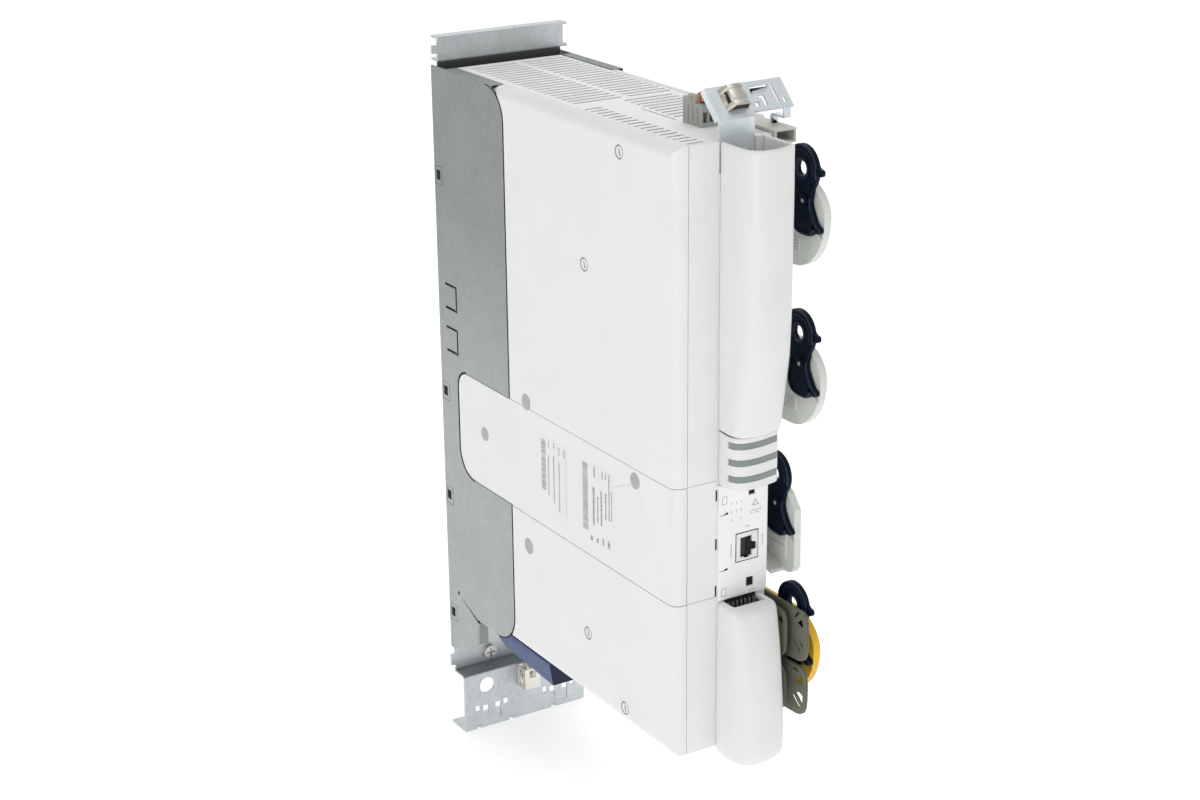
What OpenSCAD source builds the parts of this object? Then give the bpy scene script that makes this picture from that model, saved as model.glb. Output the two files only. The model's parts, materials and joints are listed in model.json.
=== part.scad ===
// Plug-on servo drive on its folded sheet-metal base.
// Every part is drawn from the housing's front-left-bottom corner: X to the right,
// Y to the rear, Z up. at_wall() then moves the whole drive to its mounting frame.

/* [Housing] */
// Width of the drive unit
unit_w = 90; // [88:0.5:92]
// Height of the drive unit
unit_h = 350; // [348:1:352]
// Depth of the plastic housing, without covers
unit_d = 248; // [246:0.5:249]
// Wall thickness of the housing shells
wall = 3; // [2.8:0.1:3.4]
// Radius of the long front edges
edge_r = 6; // [4:0.5:7]
// How far a side shell wraps round onto the front
lip = 8.5; // [7.5:0.5:9.5]
// Height of the seam below the upper shell
seam_high = 162; // [160:0.5:164]
// Height of the seam above the lower shell
seam_low = 92.6; // [91:0.2:94]
// Gap between neighbouring shells
seam_gap = 0.4; // [0.3:0.1:0.6]

/* [Covers] */
// Left edge of the bulged covers
cover_x = 28.8; // [28:0.2:30]
// Width of the bulged covers
cover_w = 29.4; // [28.5:0.1:29.8]
// Depth of the covers at their fullest
cover_d = 31; // [29:0.5:33]
// Depth of the front at its waist, round the display
waist_d = 18.5; // [17:0.5:20]
// Wall thickness of the covers
cover_wall = 2.2; // [2:0.1:2.6]

/* [Sheet metal base] */
// Distance from the housing's front to the mounting wall
wall_y = 268; // [266:0.5:270]
// Thickness of the base sheet
base_t = 1.5; // [1.2:0.1:2]
// Thickness of the side plates
plate_t = 1.2; // [1:0.1:1.4]
// Radius of the fixing holes
fix_r = 5.4; // [5:0.1:6]
// Distance between the two fixing holes of a pair
fix_pitch = 55; // [54:1:56]

/* [Module levers] */
// Thickness of an ejector lever
lever_t = 3.5; // [3:0.1:3.8]
// Radius of a lever's pivot pin
pivot_r = 2; // [1.8:0.1:2.2]

/* [Hidden] */

run_gap = 0.3;          // clearance between parts that slide past each other
pin_gap = 0.05;         // radial clearance of every hinge pin
over = 1;               // how far a cutting shape runs past a face

base_low = -95.5;       // lower edge of the base
base_web_y = 262;       // front face of the web behind the unit
base_foot_y = 249;      // front face of the lower plate
step_z = -55;           // where the web steps forward to the lower plate
rail_y = 259.5;         // front face of the top rail
rail_low = 352.5;
rail_high = 367.5;

joint_depth = 2.5;      // depth of the joint between a shell and its side plate
shelf_z = 336;          // slotted shelf behind the unit's top edge
web_x1 = unit_w - plate_t;
bay_x0 = 61.2;          // module bay, left and right
bay_x1 = 84;
bay_z0 = 8;
bay_z1 = 343.5;
step_y = 42;            // the module side of the front lies this far back
step_x = 61;            // right face of the full-depth part of the housing
case_y = step_y + 1;    // front face of the plugged-in module cases
case_back = 121;
bay_depth = 129;

lever_x = 72;           // left face of the ejector levers
fin_x = lever_x + lever_t + 0.5;
fin_t = 4.6;
lever_y = -13.8;        // pivot line of the levers on the three tall modules
memory_lever_y = 5.5;   // the memory module sits deeper
lever_z = [315.5, 225, 137.5, 65];

fan_at = [45, 214, 8];
fan_size = 58;
fan_h = 25;
release_at = [4, 203, -4.6];
shield_y = 1.2;         // front face of the shield bracket's strip
shield_t = 1.2;
screw_x = [34.2, 46.4];
shield_bend_z = 361;
shield_tilt = 45;
bar_z = [167, 176, 185];

// ---------- helpers ----------
function arc(c, r, a0, a1, n = 8) =
    [for (i = [0:n]) let (a = a0 + (a1 - a0) * i / n) c + r * [cos(a), sin(a)]];
function shift(points, d) = [for (p = points) p + d];

module at_wall() translate([-unit_w / 2, -wall_y, -base_low]) children();
module span(a, b) translate(a) cube(b - a);
module xy(z0, h) translate([0, 0, z0]) linear_extrude(h) children();
module xz(y0, t) translate([0, y0 + t, 0]) rotate([90, 0, 0]) linear_extrude(t) children();
module yz(x0, t) translate([x0, 0, 0]) rotate([90, 0, 90]) linear_extrude(t) children();
module x_rod(p, r, len) translate(p) rotate([0, 90, 0]) cylinder(r = r, h = len, $fn = 48);
module y_rod(p, r, len) translate(p) rotate([-90, 0, 0]) cylinder(r = r, h = len, $fn = 48);
module z_rod(p, r, len) translate(p) cylinder(r = r, h = len, $fn = 48);

// Solid lofted through a list of rings that all have the same number of points
module loft(rings) {
    n = len(rings[0]);
    top = len(rings) - 1;
    sides = [for (k = [0:top - 1], i = [0:n - 1]) let (j = (i + 1) % n)
        each [[k * n + i, (k + 1) * n + i, (k + 1) * n + j], [k * n + i, (k + 1) * n + j, k * n + j]]];
    polyhedron([for (r = rings) each r],
        concat([[for (i = [0:n - 1]) i]], sides, [[for (i = [n - 1:-1:0]) top * n + i]]));
}

// ---------- housing ----------
// Block with rounded long edges; inset makes the matching inner block
module housing_block(inset, back, front) {
    r = edge_r - inset;
    x1 = unit_w - inset;
    z1 = unit_h - inset;
    y = front + edge_r;
    intersection() {
        xy(inset, z1 - inset)
            polygon(concat([[inset, back]], arc([edge_r, y], r, 180, 270),
                arc([unit_w - edge_r, y], r, 270, 360), [[x1, back]]));
        xz(-over, back + 2 * over)
            polygon(concat(arc([edge_r, edge_r], r, 180, 270, 5),
                arc([unit_w - edge_r, edge_r], r, 270, 360, 5),
                arc([unit_w - edge_r, unit_h - edge_r], r, 0, 90, 5),
                arc([edge_r, unit_h - edge_r], r, 90, 180, 5)));
    }
}

module housing_skin(front = 0) difference() {
    housing_block(0, unit_d, front);
    housing_block(wall, unit_d + over, front);
}

// Side view of a side plate, with the wide cut-out that the middle shell fills
module plate_outline() polygon(concat(
    [[265, -38], [265, unit_h]], arc([198, 330], 20, 90, 180),
    [[178, seam_high]], arc([232, seam_high - 11], 11, 90, 0, 6),
    arc([225, seam_low + 18], 18, 0, -90, 6), [[178, seam_low]],
    arc([199, 17], 21, 180, 270), [[226, -4], [227, -22], [236, -28], [253, -35.5], [260, -38]]));

// Room in the shells for both side plates and their folded top edges
module plate_room() {
    for (x = [-over, unit_w - plate_t - 0.4])
        yz(x, plate_t + 0.4 + over) offset(delta = 0.6) plate_outline();
    for (x = [-over, unit_w - 8.5])
        span([x, 189, unit_h - plate_t - 0.4], [x + 8.5 + over, unit_d + over, unit_h + over]);
    // deep shadow joint along the edge of each plate
    for (x = [-over, unit_w - joint_depth]) yz(x, joint_depth + over) difference() {
        offset(delta = 0.6) plate_outline();
        offset(delta = -0.6) plate_outline();
    }
}

// Space in front of the module side, right of the full-depth part
module step_room(clear) span([step_x - wall - clear, -over, -2 * over],
    [unit_w + over, step_y + wall + clear, unit_h + 2 * over]);
module module_bay_opening()
    span([bay_x0, step_y - over, bay_z0], [bay_x1, step_y + wall + over, bay_z1]);

clip_sites = [[53, 338], [90, 267], [90.5, 41.5], [50.6, 9.7]];
plug_sites = [[158, 165.6], [210, 129], [38.8, 155.1], [158.3, 72.6]];
// The sites that lie behind a side shell's front edge
function behind(sites, front) = [for (s = sites) if (s[0] > front) s];
module side_holes(x, front) {
    for (s = behind(clip_sites, front)) x_rod([x - over, s[0], s[1]], 2.6, wall + 2 * over);
    for (s = behind(plug_sites, front)) x_rod([x - over, s[0], s[1]], 3.3, wall + 2 * over);
}

// One side shell: left = true for the left side, between two heights
module side_shell(left, z0, z1) color("whitesmoke") difference() {
    intersection() {
        housing_skin(left ? 0 : step_y);
        if (left) span([-over, -over, z0], [lip, unit_d + over, z1]);
        else span([unit_w - lip, -over, z0], [unit_w + over, unit_d + over, z1]);
    }
    plate_room();
    module_bay_opening();
    side_holes(left ? 0 : unit_w - wall, left ? 0 : step_y);
}

module front_frame() color("whitesmoke") difference() {
    union() {
        intersection() {
            housing_skin();
            span([lip + seam_gap, -over, -over], [step_x, wall, unit_h + over]);
        }
        // wall back to the module side, then the module side's own front
        intersection() {
            housing_block(0, unit_d, 0);
            span([step_x - wall, wall / 2, -over], [step_x, step_y + wall, unit_h + over]);
        }
        span([step_x - wall, step_y, 0], [unit_w - lip - seam_gap, step_y + wall, unit_h]);
    }
    module_bay_opening();
    // cable room behind the two covers
    span([33, -over, 262], [54, wall + over, 334]);
    span([33, -over, 12], [54, wall + over, 80]);
    // socket window
    span([39.5, -over, 111], [54.8, wall + over, 128.8]);
    // seam grooves that carry on from the side shells
    for (z = [seam_low, seam_high])
        span([0, -over, z - seam_gap / 2], [cover_x - 0.8, 0.6, z + seam_gap / 2]);
    // latch slits beside the control panel
    for (z = [93, 121, 150]) span([cover_x - 1.6, -over, z], [cover_x - 0.6, 1.4, z + 6.5]);
    supply_room();
    strip_room();
}

module top_grille() color("whitesmoke") difference() {
    intersection() {
        housing_skin();
        span([lip + seam_gap, wall + seam_gap, unit_h - wall],
            [unit_w - lip - seam_gap, unit_d, unit_h + over]);
    }
    step_room(seam_gap);
    for (i = [0:16]) slot_cut([11, 22], 4.6 + 6.2 * i);
    for (i = [0:19]) slot_cut([14, 45.5], 121 + 6.2 * i);
    for (i = [0:19]) slot_cut([49.5, 79], 121 + 6.2 * i);
    for (i = [0:8]) slot_cut([42, 74], 62 + 6.2 * i);
    // shadow joint round the terminal area
    span([38, 56, unit_h - 0.6], [38.6, 90, unit_h + over]);
    supply_room();
    strip_room();
}
module slot_cut(x, y) span([x[0], y, unit_h - wall - over], [x[1], y + 2.4, unit_h + over]);

module bottom_panel() color("whitesmoke") difference() {
    intersection() {
        housing_skin();
        span([lip + seam_gap, wall + seam_gap, -over],
            [unit_w - lip - seam_gap, unit_d, wall]);
    }
    step_room(seam_gap);
    // air inlet under the fan
    z_rod([fan_at[0], fan_at[1], -over], 26, wall + 2 * over);
    span([15, 40, -over], [57, 66, wall + over]);
}

// ---------- sheet-metal base ----------
module mounting_base() color("silver") {
    difference() {
        union() {
            span([plate_t, base_web_y, step_z], [web_x1, base_web_y + base_t, shelf_z]);
            span([plate_t, base_foot_y, step_z - base_t], [web_x1, base_web_y + base_t, step_z]);
            span([0.5, base_foot_y, base_low], [92.5, base_foot_y + base_t, step_z]);
            span([0.5, base_foot_y, base_low], [92.5, wall_y, base_low + base_t]);
            // shelf behind the unit, then the rail with its two lips
            span([plate_t, 250, shelf_z], [web_x1, base_web_y + base_t, shelf_z + base_t]);
            span([2, rail_y, shelf_z], [88, rail_y + base_t, rail_low]);
            span([2, rail_y, rail_low], [90, rail_y + base_t, rail_high]);
            span([2, rail_y, rail_low], [90, wall_y, rail_low + base_t]);
            span([2, rail_y, rail_high - base_t], [90, wall_y, rail_high]);
            // alignment tabs towards the next drive
            span([-1.8, rail_y, 357.5], [2.5, rail_y + base_t, 362.5]);
            span([-1.8, base_web_y, -51], [2, base_web_y + base_t, -43]);
            span([86, rail_y, rail_low], [93, wall_y, rail_low + base_t]);
            span([86, rail_y, rail_high - base_t], [93, wall_y, rail_high]);
        }
        for (x = [-1, 1] * fix_pitch / 2) {
            y_rod([unit_w / 2 + x, base_foot_y - over, -65], fix_r, base_t + 2 * over);
            y_rod([unit_w / 2 + x, base_web_y - over, 320], fix_r, base_t + 2 * over);
        }
        for (x = [20.8, 72.4]) cable_tie_slots(x);
        for (x = [9, 33.5, 66.5]) span([x, base_foot_y - over, base_low - over],
            [x + 3.2, base_foot_y + base_t + over, base_low + 2.8]);
        for (x = [20, 44, 62]) span([x, 252, shelf_z - over], [x + 14, 257, shelf_z + 2 + over]);
        y_rod([earth_at[0], base_web_y - over, earth_at[1]], 2.5, base_t + 2 * over);
    }
}
earth_at = [26.6, -47.4];

// E-shaped hook slot between two square holes
module cable_tie_slots(x) {
    deep = [base_foot_y - over, base_foot_y + base_t + over];
    for (dx = [-12.4, 8.9]) span([x + dx, deep[0], -82.8], [x + dx + 3.5, deep[1], -78.6]);
    span([x - 6.8, deep[0], -91.4], [x + 6.8, deep[1], -88.2]);
    for (dx = [-6.8, 2.6]) span([x + dx, deep[0], -91.4], [x + dx + 4.2, deep[1], -79.4]);
}

// One side plate: mirrored gives the right-hand plate
module side_plate() color("darkgray") difference() {
    union() {
        yz(0, plate_t) plate_outline();
        span([0, 190, unit_h - plate_t], [7.6, 248, unit_h]);
        span([0, 225, -21], [6.5, 225 + plate_t, -6]);
    }
    // clinch windows
    for (z = [-14, 69, 140, 280]) span([-over, 257.5, z], [plate_t + over, 262, z + 6]);
    x_rod([-over, 251.5, 5.4], 1.2, plate_t + 2 * over);
    // sprung tongues, each cut free by a U-shaped slot
    for (z = [171, 199]) {
        for (dz = [0, 15]) span([-over, 241.5, z + dz], [plate_t + over, 256, z + dz + 1.4]);
        span([-over, 241.5, z], [plate_t + over, 242.9, z + 16.4]);
    }
}
module side_plate_right() translate([unit_w, 0, 0]) mirror([1, 0, 0]) side_plate();

module base_board() color("darkgreen") {
    span([10, 258.4, 40], [80, 260, 240]);
    for (x = [15, 75], z = [46, 234]) y_rod([x, 260, z], 2.5, base_web_y - 260);
}
module base_plug() color("dimgray") difference() {
    span([28, 250.5, 59], [62, 258.4, 111]);
    span([30.5, 249, 61.5], [59.5, 255.5, 108.5]);
}
module unit_plug() color("black") span([31, 240.2, 62], [59, 255, 108]);

module lower_shield_clamp() color("tan") difference() {
    span([40, 237.5, -71], [52, base_foot_y, -55.5]);
    span([41, 238.5, -72], [51, 248, -54.5]);
    span([39, 241, -68], [42, 245.5, -58.5]);
}

module earth_screw() color("silver") difference() {
    union() {
        y_rod([earth_at[0], base_web_y - 3, earth_at[1]], 4.6, 3);
        y_rod([earth_at[0], base_web_y - 0.5, earth_at[1]], 2.4, 5);
    }
    for (d = [[3.2, 0.6], [0.6, 3.2]])
        span([earth_at[0] - d[0], base_web_y - 4, earth_at[1] - d[1]],
            [earth_at[0] + d[0], base_web_y - 1.4, earth_at[1] + d[1]]);
}

// ---------- inside the unit ----------
module heatsink() color("lightgray") {
    span([5, 184, 38], [85, 190, 318]);
    for (i = [0:12]) span([5 + 6.5 * i, 190, 38], [7 + 6.5 * i, 239, 318]);
}

module rear_sheet() color("silver") span([wall + 0.4, 239, 38], [unit_w - wall - 0.4, 240.2, 330]);

module fan_frame() color("dimgray") difference() {
    union() {
        difference() {
            span(fan_at - [fan_size / 2, fan_size / 2, 0],
                fan_at + [fan_size / 2, fan_size / 2, fan_h]);
            z_rod(fan_at - [0, 0, over], 26.5, fan_h + 2 * over);
        }
        z_rod(fan_at, 12, 3);
        for (a = [45:90:315]) translate(fan_at) rotate(a) span([10, -1.5, 0], [28, 1.5, 3]);
    }
    z_rod(fan_at - [0, 0, over], 1.5 + pin_gap, fan_h + 2 * over);
}
module fan_rotor() color("black") {
    z_rod(fan_at + [0, 0, 4], 12, 18);
    z_rod(fan_at, 1.5, 5);
    for (a = [0:360 / 7:359]) translate(fan_at + [0, 0, 13]) rotate(a)
        translate([10, 0, 0]) rotate([35, 0, 0]) span([0, -9, -0.8], [14.8, 9, 0.8]);
}

module power_module() color("gainsboro") span([18, 174, 120], [72, 184, 230]);
module power_board() color("darkgreen") span([8, 12, 22], [9.6, 172, 330]);
module control_board() color("green") span([52, 14, 60], [53.6, 160, 335]);
module board_spacers() color("gold") for (y = [20, 150], z = [70, 325]) {
    x_rod([9.6, y, z], 3, 42.4);
}
module dc_link_capacitors() color("navy")
    for (i = [0:3]) x_rod([9.6, 42 + 32 * i, 285], 14, 36);
module mains_choke() color("peru")
    translate([9.6, 70, 110]) rotate([0, 90, 0]) rotate_extrude($fn = 64)
        polygon([[8, 0], [20, 0], [20, 16], [8, 16]]);
module bay_partition() color("whitesmoke")
    span([57.6, step_y + wall + 0.4, bay_z0], [59.8, bay_depth, bay_z1]);
module module_bus_board() color("green")
    span([60.2, bay_depth + 1, bay_z0 + 4], [84, bay_depth + 2.6, bay_z1 - 4]);
module module_sockets() color("black")
    for (z = lever_z) span([66, bay_depth - 6, z - 26], [78, bay_depth + 1, z + 2]);

module housing_clips() color("lightgray")
    for (x = [[0.3, 3.2, 0], [unit_w - 3.5, 3.2, step_y]], s = behind(clip_sites, x[2])) difference() {
        x_rod([x[0], s[0], s[1]], 2.6, x[1]);
        x_rod([x[0] - over, s[0], s[1]], 1.3, x[1] + 2 * over);
    }
module cover_plugs() color("darkgray")
    for (x = [[-0.2, 0], [unit_w - wall, step_y]], s = behind(plug_sites, x[1]))
        x_rod([x[0], s[0], s[1]], 3.3, wall + 0.2);

// ---------- front covers ----------
// Plan of the bulged front at full depth; y is scaled to the depth wanted
bulge_plan = [[58.2, -0.3], [28.6, -0.3], [28.2, -4.5], [27.8, -10], [27.8, -16], [28.4, -21.4],
    [30.2, -25.6], [33, -28.4], [36.8, -29.9], [41.2, -30.3], [46, -29.7], [50.6, -28.2],
    [54.6, -26.9], [57.2, -25.4], [58.2, -22.6]];
plan_d = 30.3;
// Ring of the plan for depth d, shrunk all round by inset; narrow depths draw in the left side too
function bulge_ring(d, inset) =
    let (k = (d - run_gap) / (plan_d - run_gap), left = 1.2 * (1 - k), mid = cover_x + cover_w / 2,
        kx = 1 - 2 * inset / cover_w, ky = k * (1 - 2 * inset / d))
    [for (p = bulge_plan) let (x = p[0] < 40 ? p[0] + left * (40 - p[0]) / 13 : p[0])
        [mid + (x - mid) * kx, -run_gap - inset + (p[1] + run_gap) * ky]];
module bulge(zs, depths, inset) loft([for (i = [0:len(zs) - 1])
    [for (p = bulge_ring(depths[i], inset)) [p[0], p[1], zs[i]]]]);

// Silhouette of the upper cover and of the lower cover: height, depth
upper_zs = [191.4, 196, 204, 212, 220, 228, 237, 246, 258, 271, 298, 350];
upper_ds = [20.4, 21.6, 23.2, 25, 26.6, 28, 29.4, 30.2, 30.8, cover_d, cover_d, cover_d - 0.6];
module upper_cover() color("white") difference() {
    bulge(upper_zs, upper_ds, 0);
    bulge(concat([194], [for (i = [1:len(upper_zs) - 1]) upper_zs[i] + (i == 11 ? over : 0)]),
        upper_ds, cover_wall);
    // open back
    span([31.1, -7, 196], [54.6, over, unit_h + over]);
}

lower_zs = [-4, -1.5, 4, 12, 22, 34, 46, 58, 70, 82.6, 89.5];
lower_ds = [24, 28.4, 30.2, 30.5, 29.9, 28.9, 27.6, 26, 23.9, 21.2, 17.6];
lower_room_zs = [-1.2, 1.2, 5, 12.4, 22, 34, 46, 58, 70, 81, 87];
module lower_cover() color("white") difference() {
    bulge(lower_zs, lower_ds, 0);
    bulge(lower_room_zs, lower_ds, cover_wall);
    span([33, -7.3, 3.1], [53.9, over, 85.5]);
    // cable mouth in the top
    span([31.9, -13.3, 76.7], [51, -5.1, 92]);
}

bar_end = 9.5;          // the bars end this far in front of the housing
display_zs = [159.6, 161, 189.8, 191];
module display_housing() color("white") difference() {
    union() {
        bulge(display_zs, [waist_d - 1, waist_d, waist_d, waist_d - 0.6], 0);
        span([31, -over, 161], [56, 0, 190]);
    }
    for (z = bar_z) difference() {
        bulge([z - 2.2, z + 2.2], [waist_d + 2, waist_d + 2], -2);
        bulge([z - 3, z + 3], [waist_d, waist_d], 1.4);
        span([0, -bar_end, z - 4], [100, 3 * over, z + 4]);
    }
}
module status_bars() color("slategray") for (z = bar_z) difference() {
    bulge([z - 2.2, z + 2.2], [waist_d + 0.2, waist_d + 0.2], -0.2);
    bulge([z - 3, z + 3], [waist_d, waist_d], 1.4);
    span([0, -bar_end, z - 4], [100, over, z + 4]);
}

socket_x = [39.8, 54.5];
socket_z = [111.5, 128.3];
module control_panel() color("whitesmoke") difference() {
    span([cover_x - 0.4, -2.2, 90.6], [step_x, 0, 159.2]);
    span([socket_x[0] - 0.3, -3, socket_z[0] - 0.3], [socket_x[1] + 0.3, 1, socket_z[1] + 0.3]);
    span([48, -3, 149.8], [52.4, -1, 153]);
    span([47, -3, 95], [52, -1, 100.6]);
    for (z = [108, 141.5]) span([cover_x - over, -3, z], [34.2, -1.7, z + 0.5]);
}
module rj45_socket() color("dimgray") difference() {
    span([socket_x[0], -2.4, socket_z[0]], [socket_x[1], 14, socket_z[1]]);
    span([42.6, -3.4, 113.6], [50.8, 10.5, 126.2]);
    span([50.4, -3.4, 116.6], [53.2, 8, 122.2]);
}
module cover_socket() color("tan") difference() {
    span([34, -14, 314], [52.5, 14, 332]);
    for (i = [0:3]) span([35.5 + 4.2 * i, -12, 321], [38.5 + 4.2 * i, -2, 333]);
}
module motor_plug() color("darkolivegreen") difference() {
    span([15, 40, -8], [57, 66, 16]);
    for (i = [0:3]) span([18 + 10 * i, 45, -9], [24 + 10 * i, 61, 8]);
}

// ---------- top of the unit ----------
module supply_room() span([62, step_y - over, 343.6], [76.4, 60, unit_h + over]);
module strip_room() {
    span([27.9, -over, 333.5], [51.4, shield_y + shield_t, unit_h + over]);
    for (x = screw_x) y_rod([x, 0, 341], 1.65, 4);
}
module supply_connector() color("tan") difference() {
    span([62.2, -1.2, 344], [76.2, 59.8, 351.8]);
    span([63.6, -2.2, 345.2], [74.8, 12, 350.6]);
}

module shield_plane() translate([0, shield_y, shield_bend_z]) rotate([-shield_tilt, 0, 0]) children();
module shield_bracket() color("lightsteelblue") difference() {
    union() {
        span([28.4, shield_y, 334], [51, shield_y + shield_t, shield_bend_z]);
        shield_plane() {
            span([28.4, 0, -0.4], [51, shield_t, 20]);
            span([51, 0, 2], [77.4, shield_t, 20.5]);
            span([28.4, 0, 1], [29.6, 4.4, 20]);
        }
        // bent foot that rests on the supply connector
        yz(70.5, 4.5) polygon([[2.6, 362], [2.1, 357.4], [3, 356.4], [12.2, 356.4], [13.2, 355.4],
            [13.6, 351.8], [14.8, 351.8], [14.6, 356], [12.8, 357.6], [3.8, 357.6], [3.4, 358],
            [3.4, 362.6]]);
    }
    shield_plane() {
        for (s = [[54.5, 4.6, 2.2, 3], [60, 4.6, 2, 6], [58.4, 9.8, 3.6, 1.8], [72.5, 5, 1.8, 3.4],
            [68.6, 6, 1.5, 11.5], [55, 16, 12, 1.4]])
            span([s[0], -over, s[1]], [s[0] + s[2], shield_t + over, s[1] + s[3]]);
    }
    for (x = screw_x) y_rod([x, 0, 341], 1.7, 4);
}
module bracket_screws() color("silver") for (x = screw_x) {
    y_rod([x, shield_y - 1.6, 341], 3, 1.6);
    y_rod([x, shield_y - 0.4, 341], 1.6, 2.2);
}
// spring with one slanting side, open above and below
module upper_shield_clamp() color("tan") shield_plane() difference() {
    translate([0, 0, 4.3]) linear_extrude(13.1)
        polygon([[35.2, 0], [38.7, -5.5], [48, -5.5], [49.6, 0]]);
    translate([0, 0, 3.3]) linear_extrude(15.1)
        polygon([[37, -1], [39.3, -4.6], [47.2, -4.6], [48.3, -1]]);
    span([34, -4.1, 7.5], [38.9, -2.3, 14.2]);
}

term = [38.2, 31.4];
term_pivot_z = 364.2;
module control_terminal() color("gray") difference() {
    union() {
        span([term[0], term[1], unit_h], [term[0] + 17, term[1] + 18, 362]);
        span([term[0], term[1] + 12, 361], [term[0] + 17, term[1] + 18, 364.4]);
        for (x = [0, 13.9]) span([term[0] + x, term[1] + 6, 361],
            [term[0] + x + 3.1, term[1] + 13, 366.4]);
    }
    for (i = [0:3]) span([term[0] + 1 + 4.1 * i, term[1] - over, 352.5],
        [term[0] + 3.8 + 4.1 * i, term[1] + 7, 358]);
    for (i = [0:2]) span([term[0] - over, term[1] + 3.6 + 4.4 * i, 351.5],
        [term[0] + 0.5, term[1] + 4.2 + 4.4 * i, 360.5]);
    x_rod([term[0] - over, term[1] + 9, term_pivot_z], 1.2 + pin_gap, 20);
}
module terminal_lever() color("darkorange") {
    x_rod([term[0] + 0.4, term[1] + 9, term_pivot_z], 1.2, 16.2);
    yz(term[0] + 3.5, 10) polygon([[term[1] + 10.4, 362.6], [term[1] + 10.4, 366],
        [term[1] + 7, 368], [term[1] - 2.5, 368], [term[1] - 2.5, 366.2], [term[1] + 5, 362.6]]);
}

// ---------- plug-in modules ----------
// Round-nosed fin, drawn from its lever's pivot height
function fin_nose(z, y_back) = concat([[y_back, z - 38.5]],
    [for (a = [270:-10:180]) [-2 + 25.5 * cos(a), z - 8.5 + 30 * sin(a)]],
    [for (a = [170:-10:90]) [-2 + 25.5 * cos(a), z - 8.5 + 20 * sin(a)]],
    [[y_back, z + 11.5]]);
module module_case(z, up, down, face_y) {
    difference() {
        span([bay_x0 + run_gap, face_y, z - down], [bay_x1 - run_gap, case_back, z + up]);
        span([bay_x0 + 2, face_y + 2, z - down + 1.6], [bay_x1 - 2, case_back + over, z + up - 1.6]);
    }
}
module lever_pin(z, y) x_rod([lever_x - 0.4, y, z], pivot_r, fin_x - lever_x + 0.8);

module tall_module(z, up, down) {
    module_case(z, up, down, case_y);
    difference() {
        yz(fin_x, fin_t) polygon(fin_nose(z, case_y + 1));
        // label frame pressed into the fin's left face
        difference() {
            span([fin_x - over, -6.4, z - 30.4], [fin_x + 0.5, 5, z - 23]);
            span([fin_x - over - 1, -5.8, z - 29.8], [fin_x + 1, 4.4, z - 23.6]);
        }
    }
    lever_pin(z, lever_y);
}
module module_upper() color("gainsboro") tall_module(lever_z[0], 27, 56);
module module_second() color("gainsboro") tall_module(lever_z[1], 33, 51);
module safety_module() color("gold") tall_module(lever_z[3], 24, 54);
module memory_module() color("gainsboro") {
    z = lever_z[2];
    module_case(z, 35, 42, case_y + 1);
    yz(fin_x, fin_t) polygon([[case_y + 2, z + 12], [8, z + 10], [0, z + 6.4], [-6.8, z - 2],
        [-7.4, z - 36], [-4.6, z - 40], [0, z - 41], [24, z - 34], [case_y + 2, z - 34]]);
    // ledge along the fin's lower edge
    yz(66, fin_x - 66 + 1) polygon([[1, z - 38.5], [1, z - 40.5], [24, z - 34], [case_y + 2, z - 34],
        [case_y + 2, z - 32], [24, z - 32]]);
    lever_pin(z, memory_lever_y);
}

// Ejector lever: thumb ring above the pivot, hooked foot below it
module ejector_shape() difference() {
    union() {
        translate([2.9, 16.6]) circle(r = 13.2, $fn = 64);
        polygon(concat([[-6.8, 8], [-5.4, 0], [-8.2, -6], [-14.4, -13.4], [-13.6, -16],
            [-8.4, -14.6], [-7, -18.4], [-2.6, -18.8]], arc([1.8, -9.2], 9.6, 270, 360, 6),
            [[11, 6]]));
    }
    translate([2.5, 16.8]) circle(r = 4.2, $fn = 48);
    circle(r = pivot_r + pin_gap, $fn = 48);
    // waist
    translate([-12.8, 3.4]) circle(r = 7, $fn = 48);
}
module ejector(i, y, knob = true) color("midnightblue") translate([0, y, lever_z[i]]) {
    yz(lever_x, lever_t) ejector_shape();
    if (knob) yz(lever_x, lever_t) polygon([[-8, 19], [-12.6, 18.9], [-14.4, 17.6],
        [-14.4, 15.6], [-12.6, 14.3], [-8, 14.2]]);
}

// Pull-off terminal plug with a wing on each side
plug_back = case_y - 0.3;
module wing(x, z0, z1, nose) yz(x, 1.9) difference() {
    polygon([[plug_back, z0 + 3], [-4, z0], [nose + 5, z0 + 2.4], [nose + 0.6, z0 + 7],
        [nose, z0 + 15], [nose + 0.8, z1 - 2.4], [nose + 3, z1], [plug_back, z1]]);
    // grip windows: slot and triangle above, two slanted slots below
    polygon([[nose + 12, z1 - 4.6], [nose + 13, z1 - 3.6], [nose + 9.4, z1 - 5.6],
        [nose + 8.4, z1 - 6.6]]);
    polygon([[nose + 9.6, z1 - 9.4], [nose + 5.2, z1 - 9.4], [nose + 6.4, z1 - 13.4],
        [nose + 8.6, z1 - 13]]);
    polygon([[nose + 13.6, z0 + 14], [nose + 14.6, z0 + 14], [nose + 10.4, z0 + 6.4],
        [nose + 9.4, z0 + 6.4]]);
    polygon([[nose + 9.4, z0 + 15], [nose + 6, z0 + 13], [nose + 4.8, z0 + 8.4], [nose + 7, z0 + 9]]);
}
module terminal_plug(z0, z1) color("darkolivegreen") {
    wing(61.3, z0, z1 - 1.5, -20);
    wing(67.4, z0, z1, -32);
    difference() {
        span([63, 16, z0 + 4], [67.5, plug_back, z1 - 4]);
        for (i = [0:4]) span([63.8, 15, z0 + 5.5 + 4.4 * i], [66.6, 26, z0 + 8.3 + 4.4 * i]);
    }
}

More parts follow.
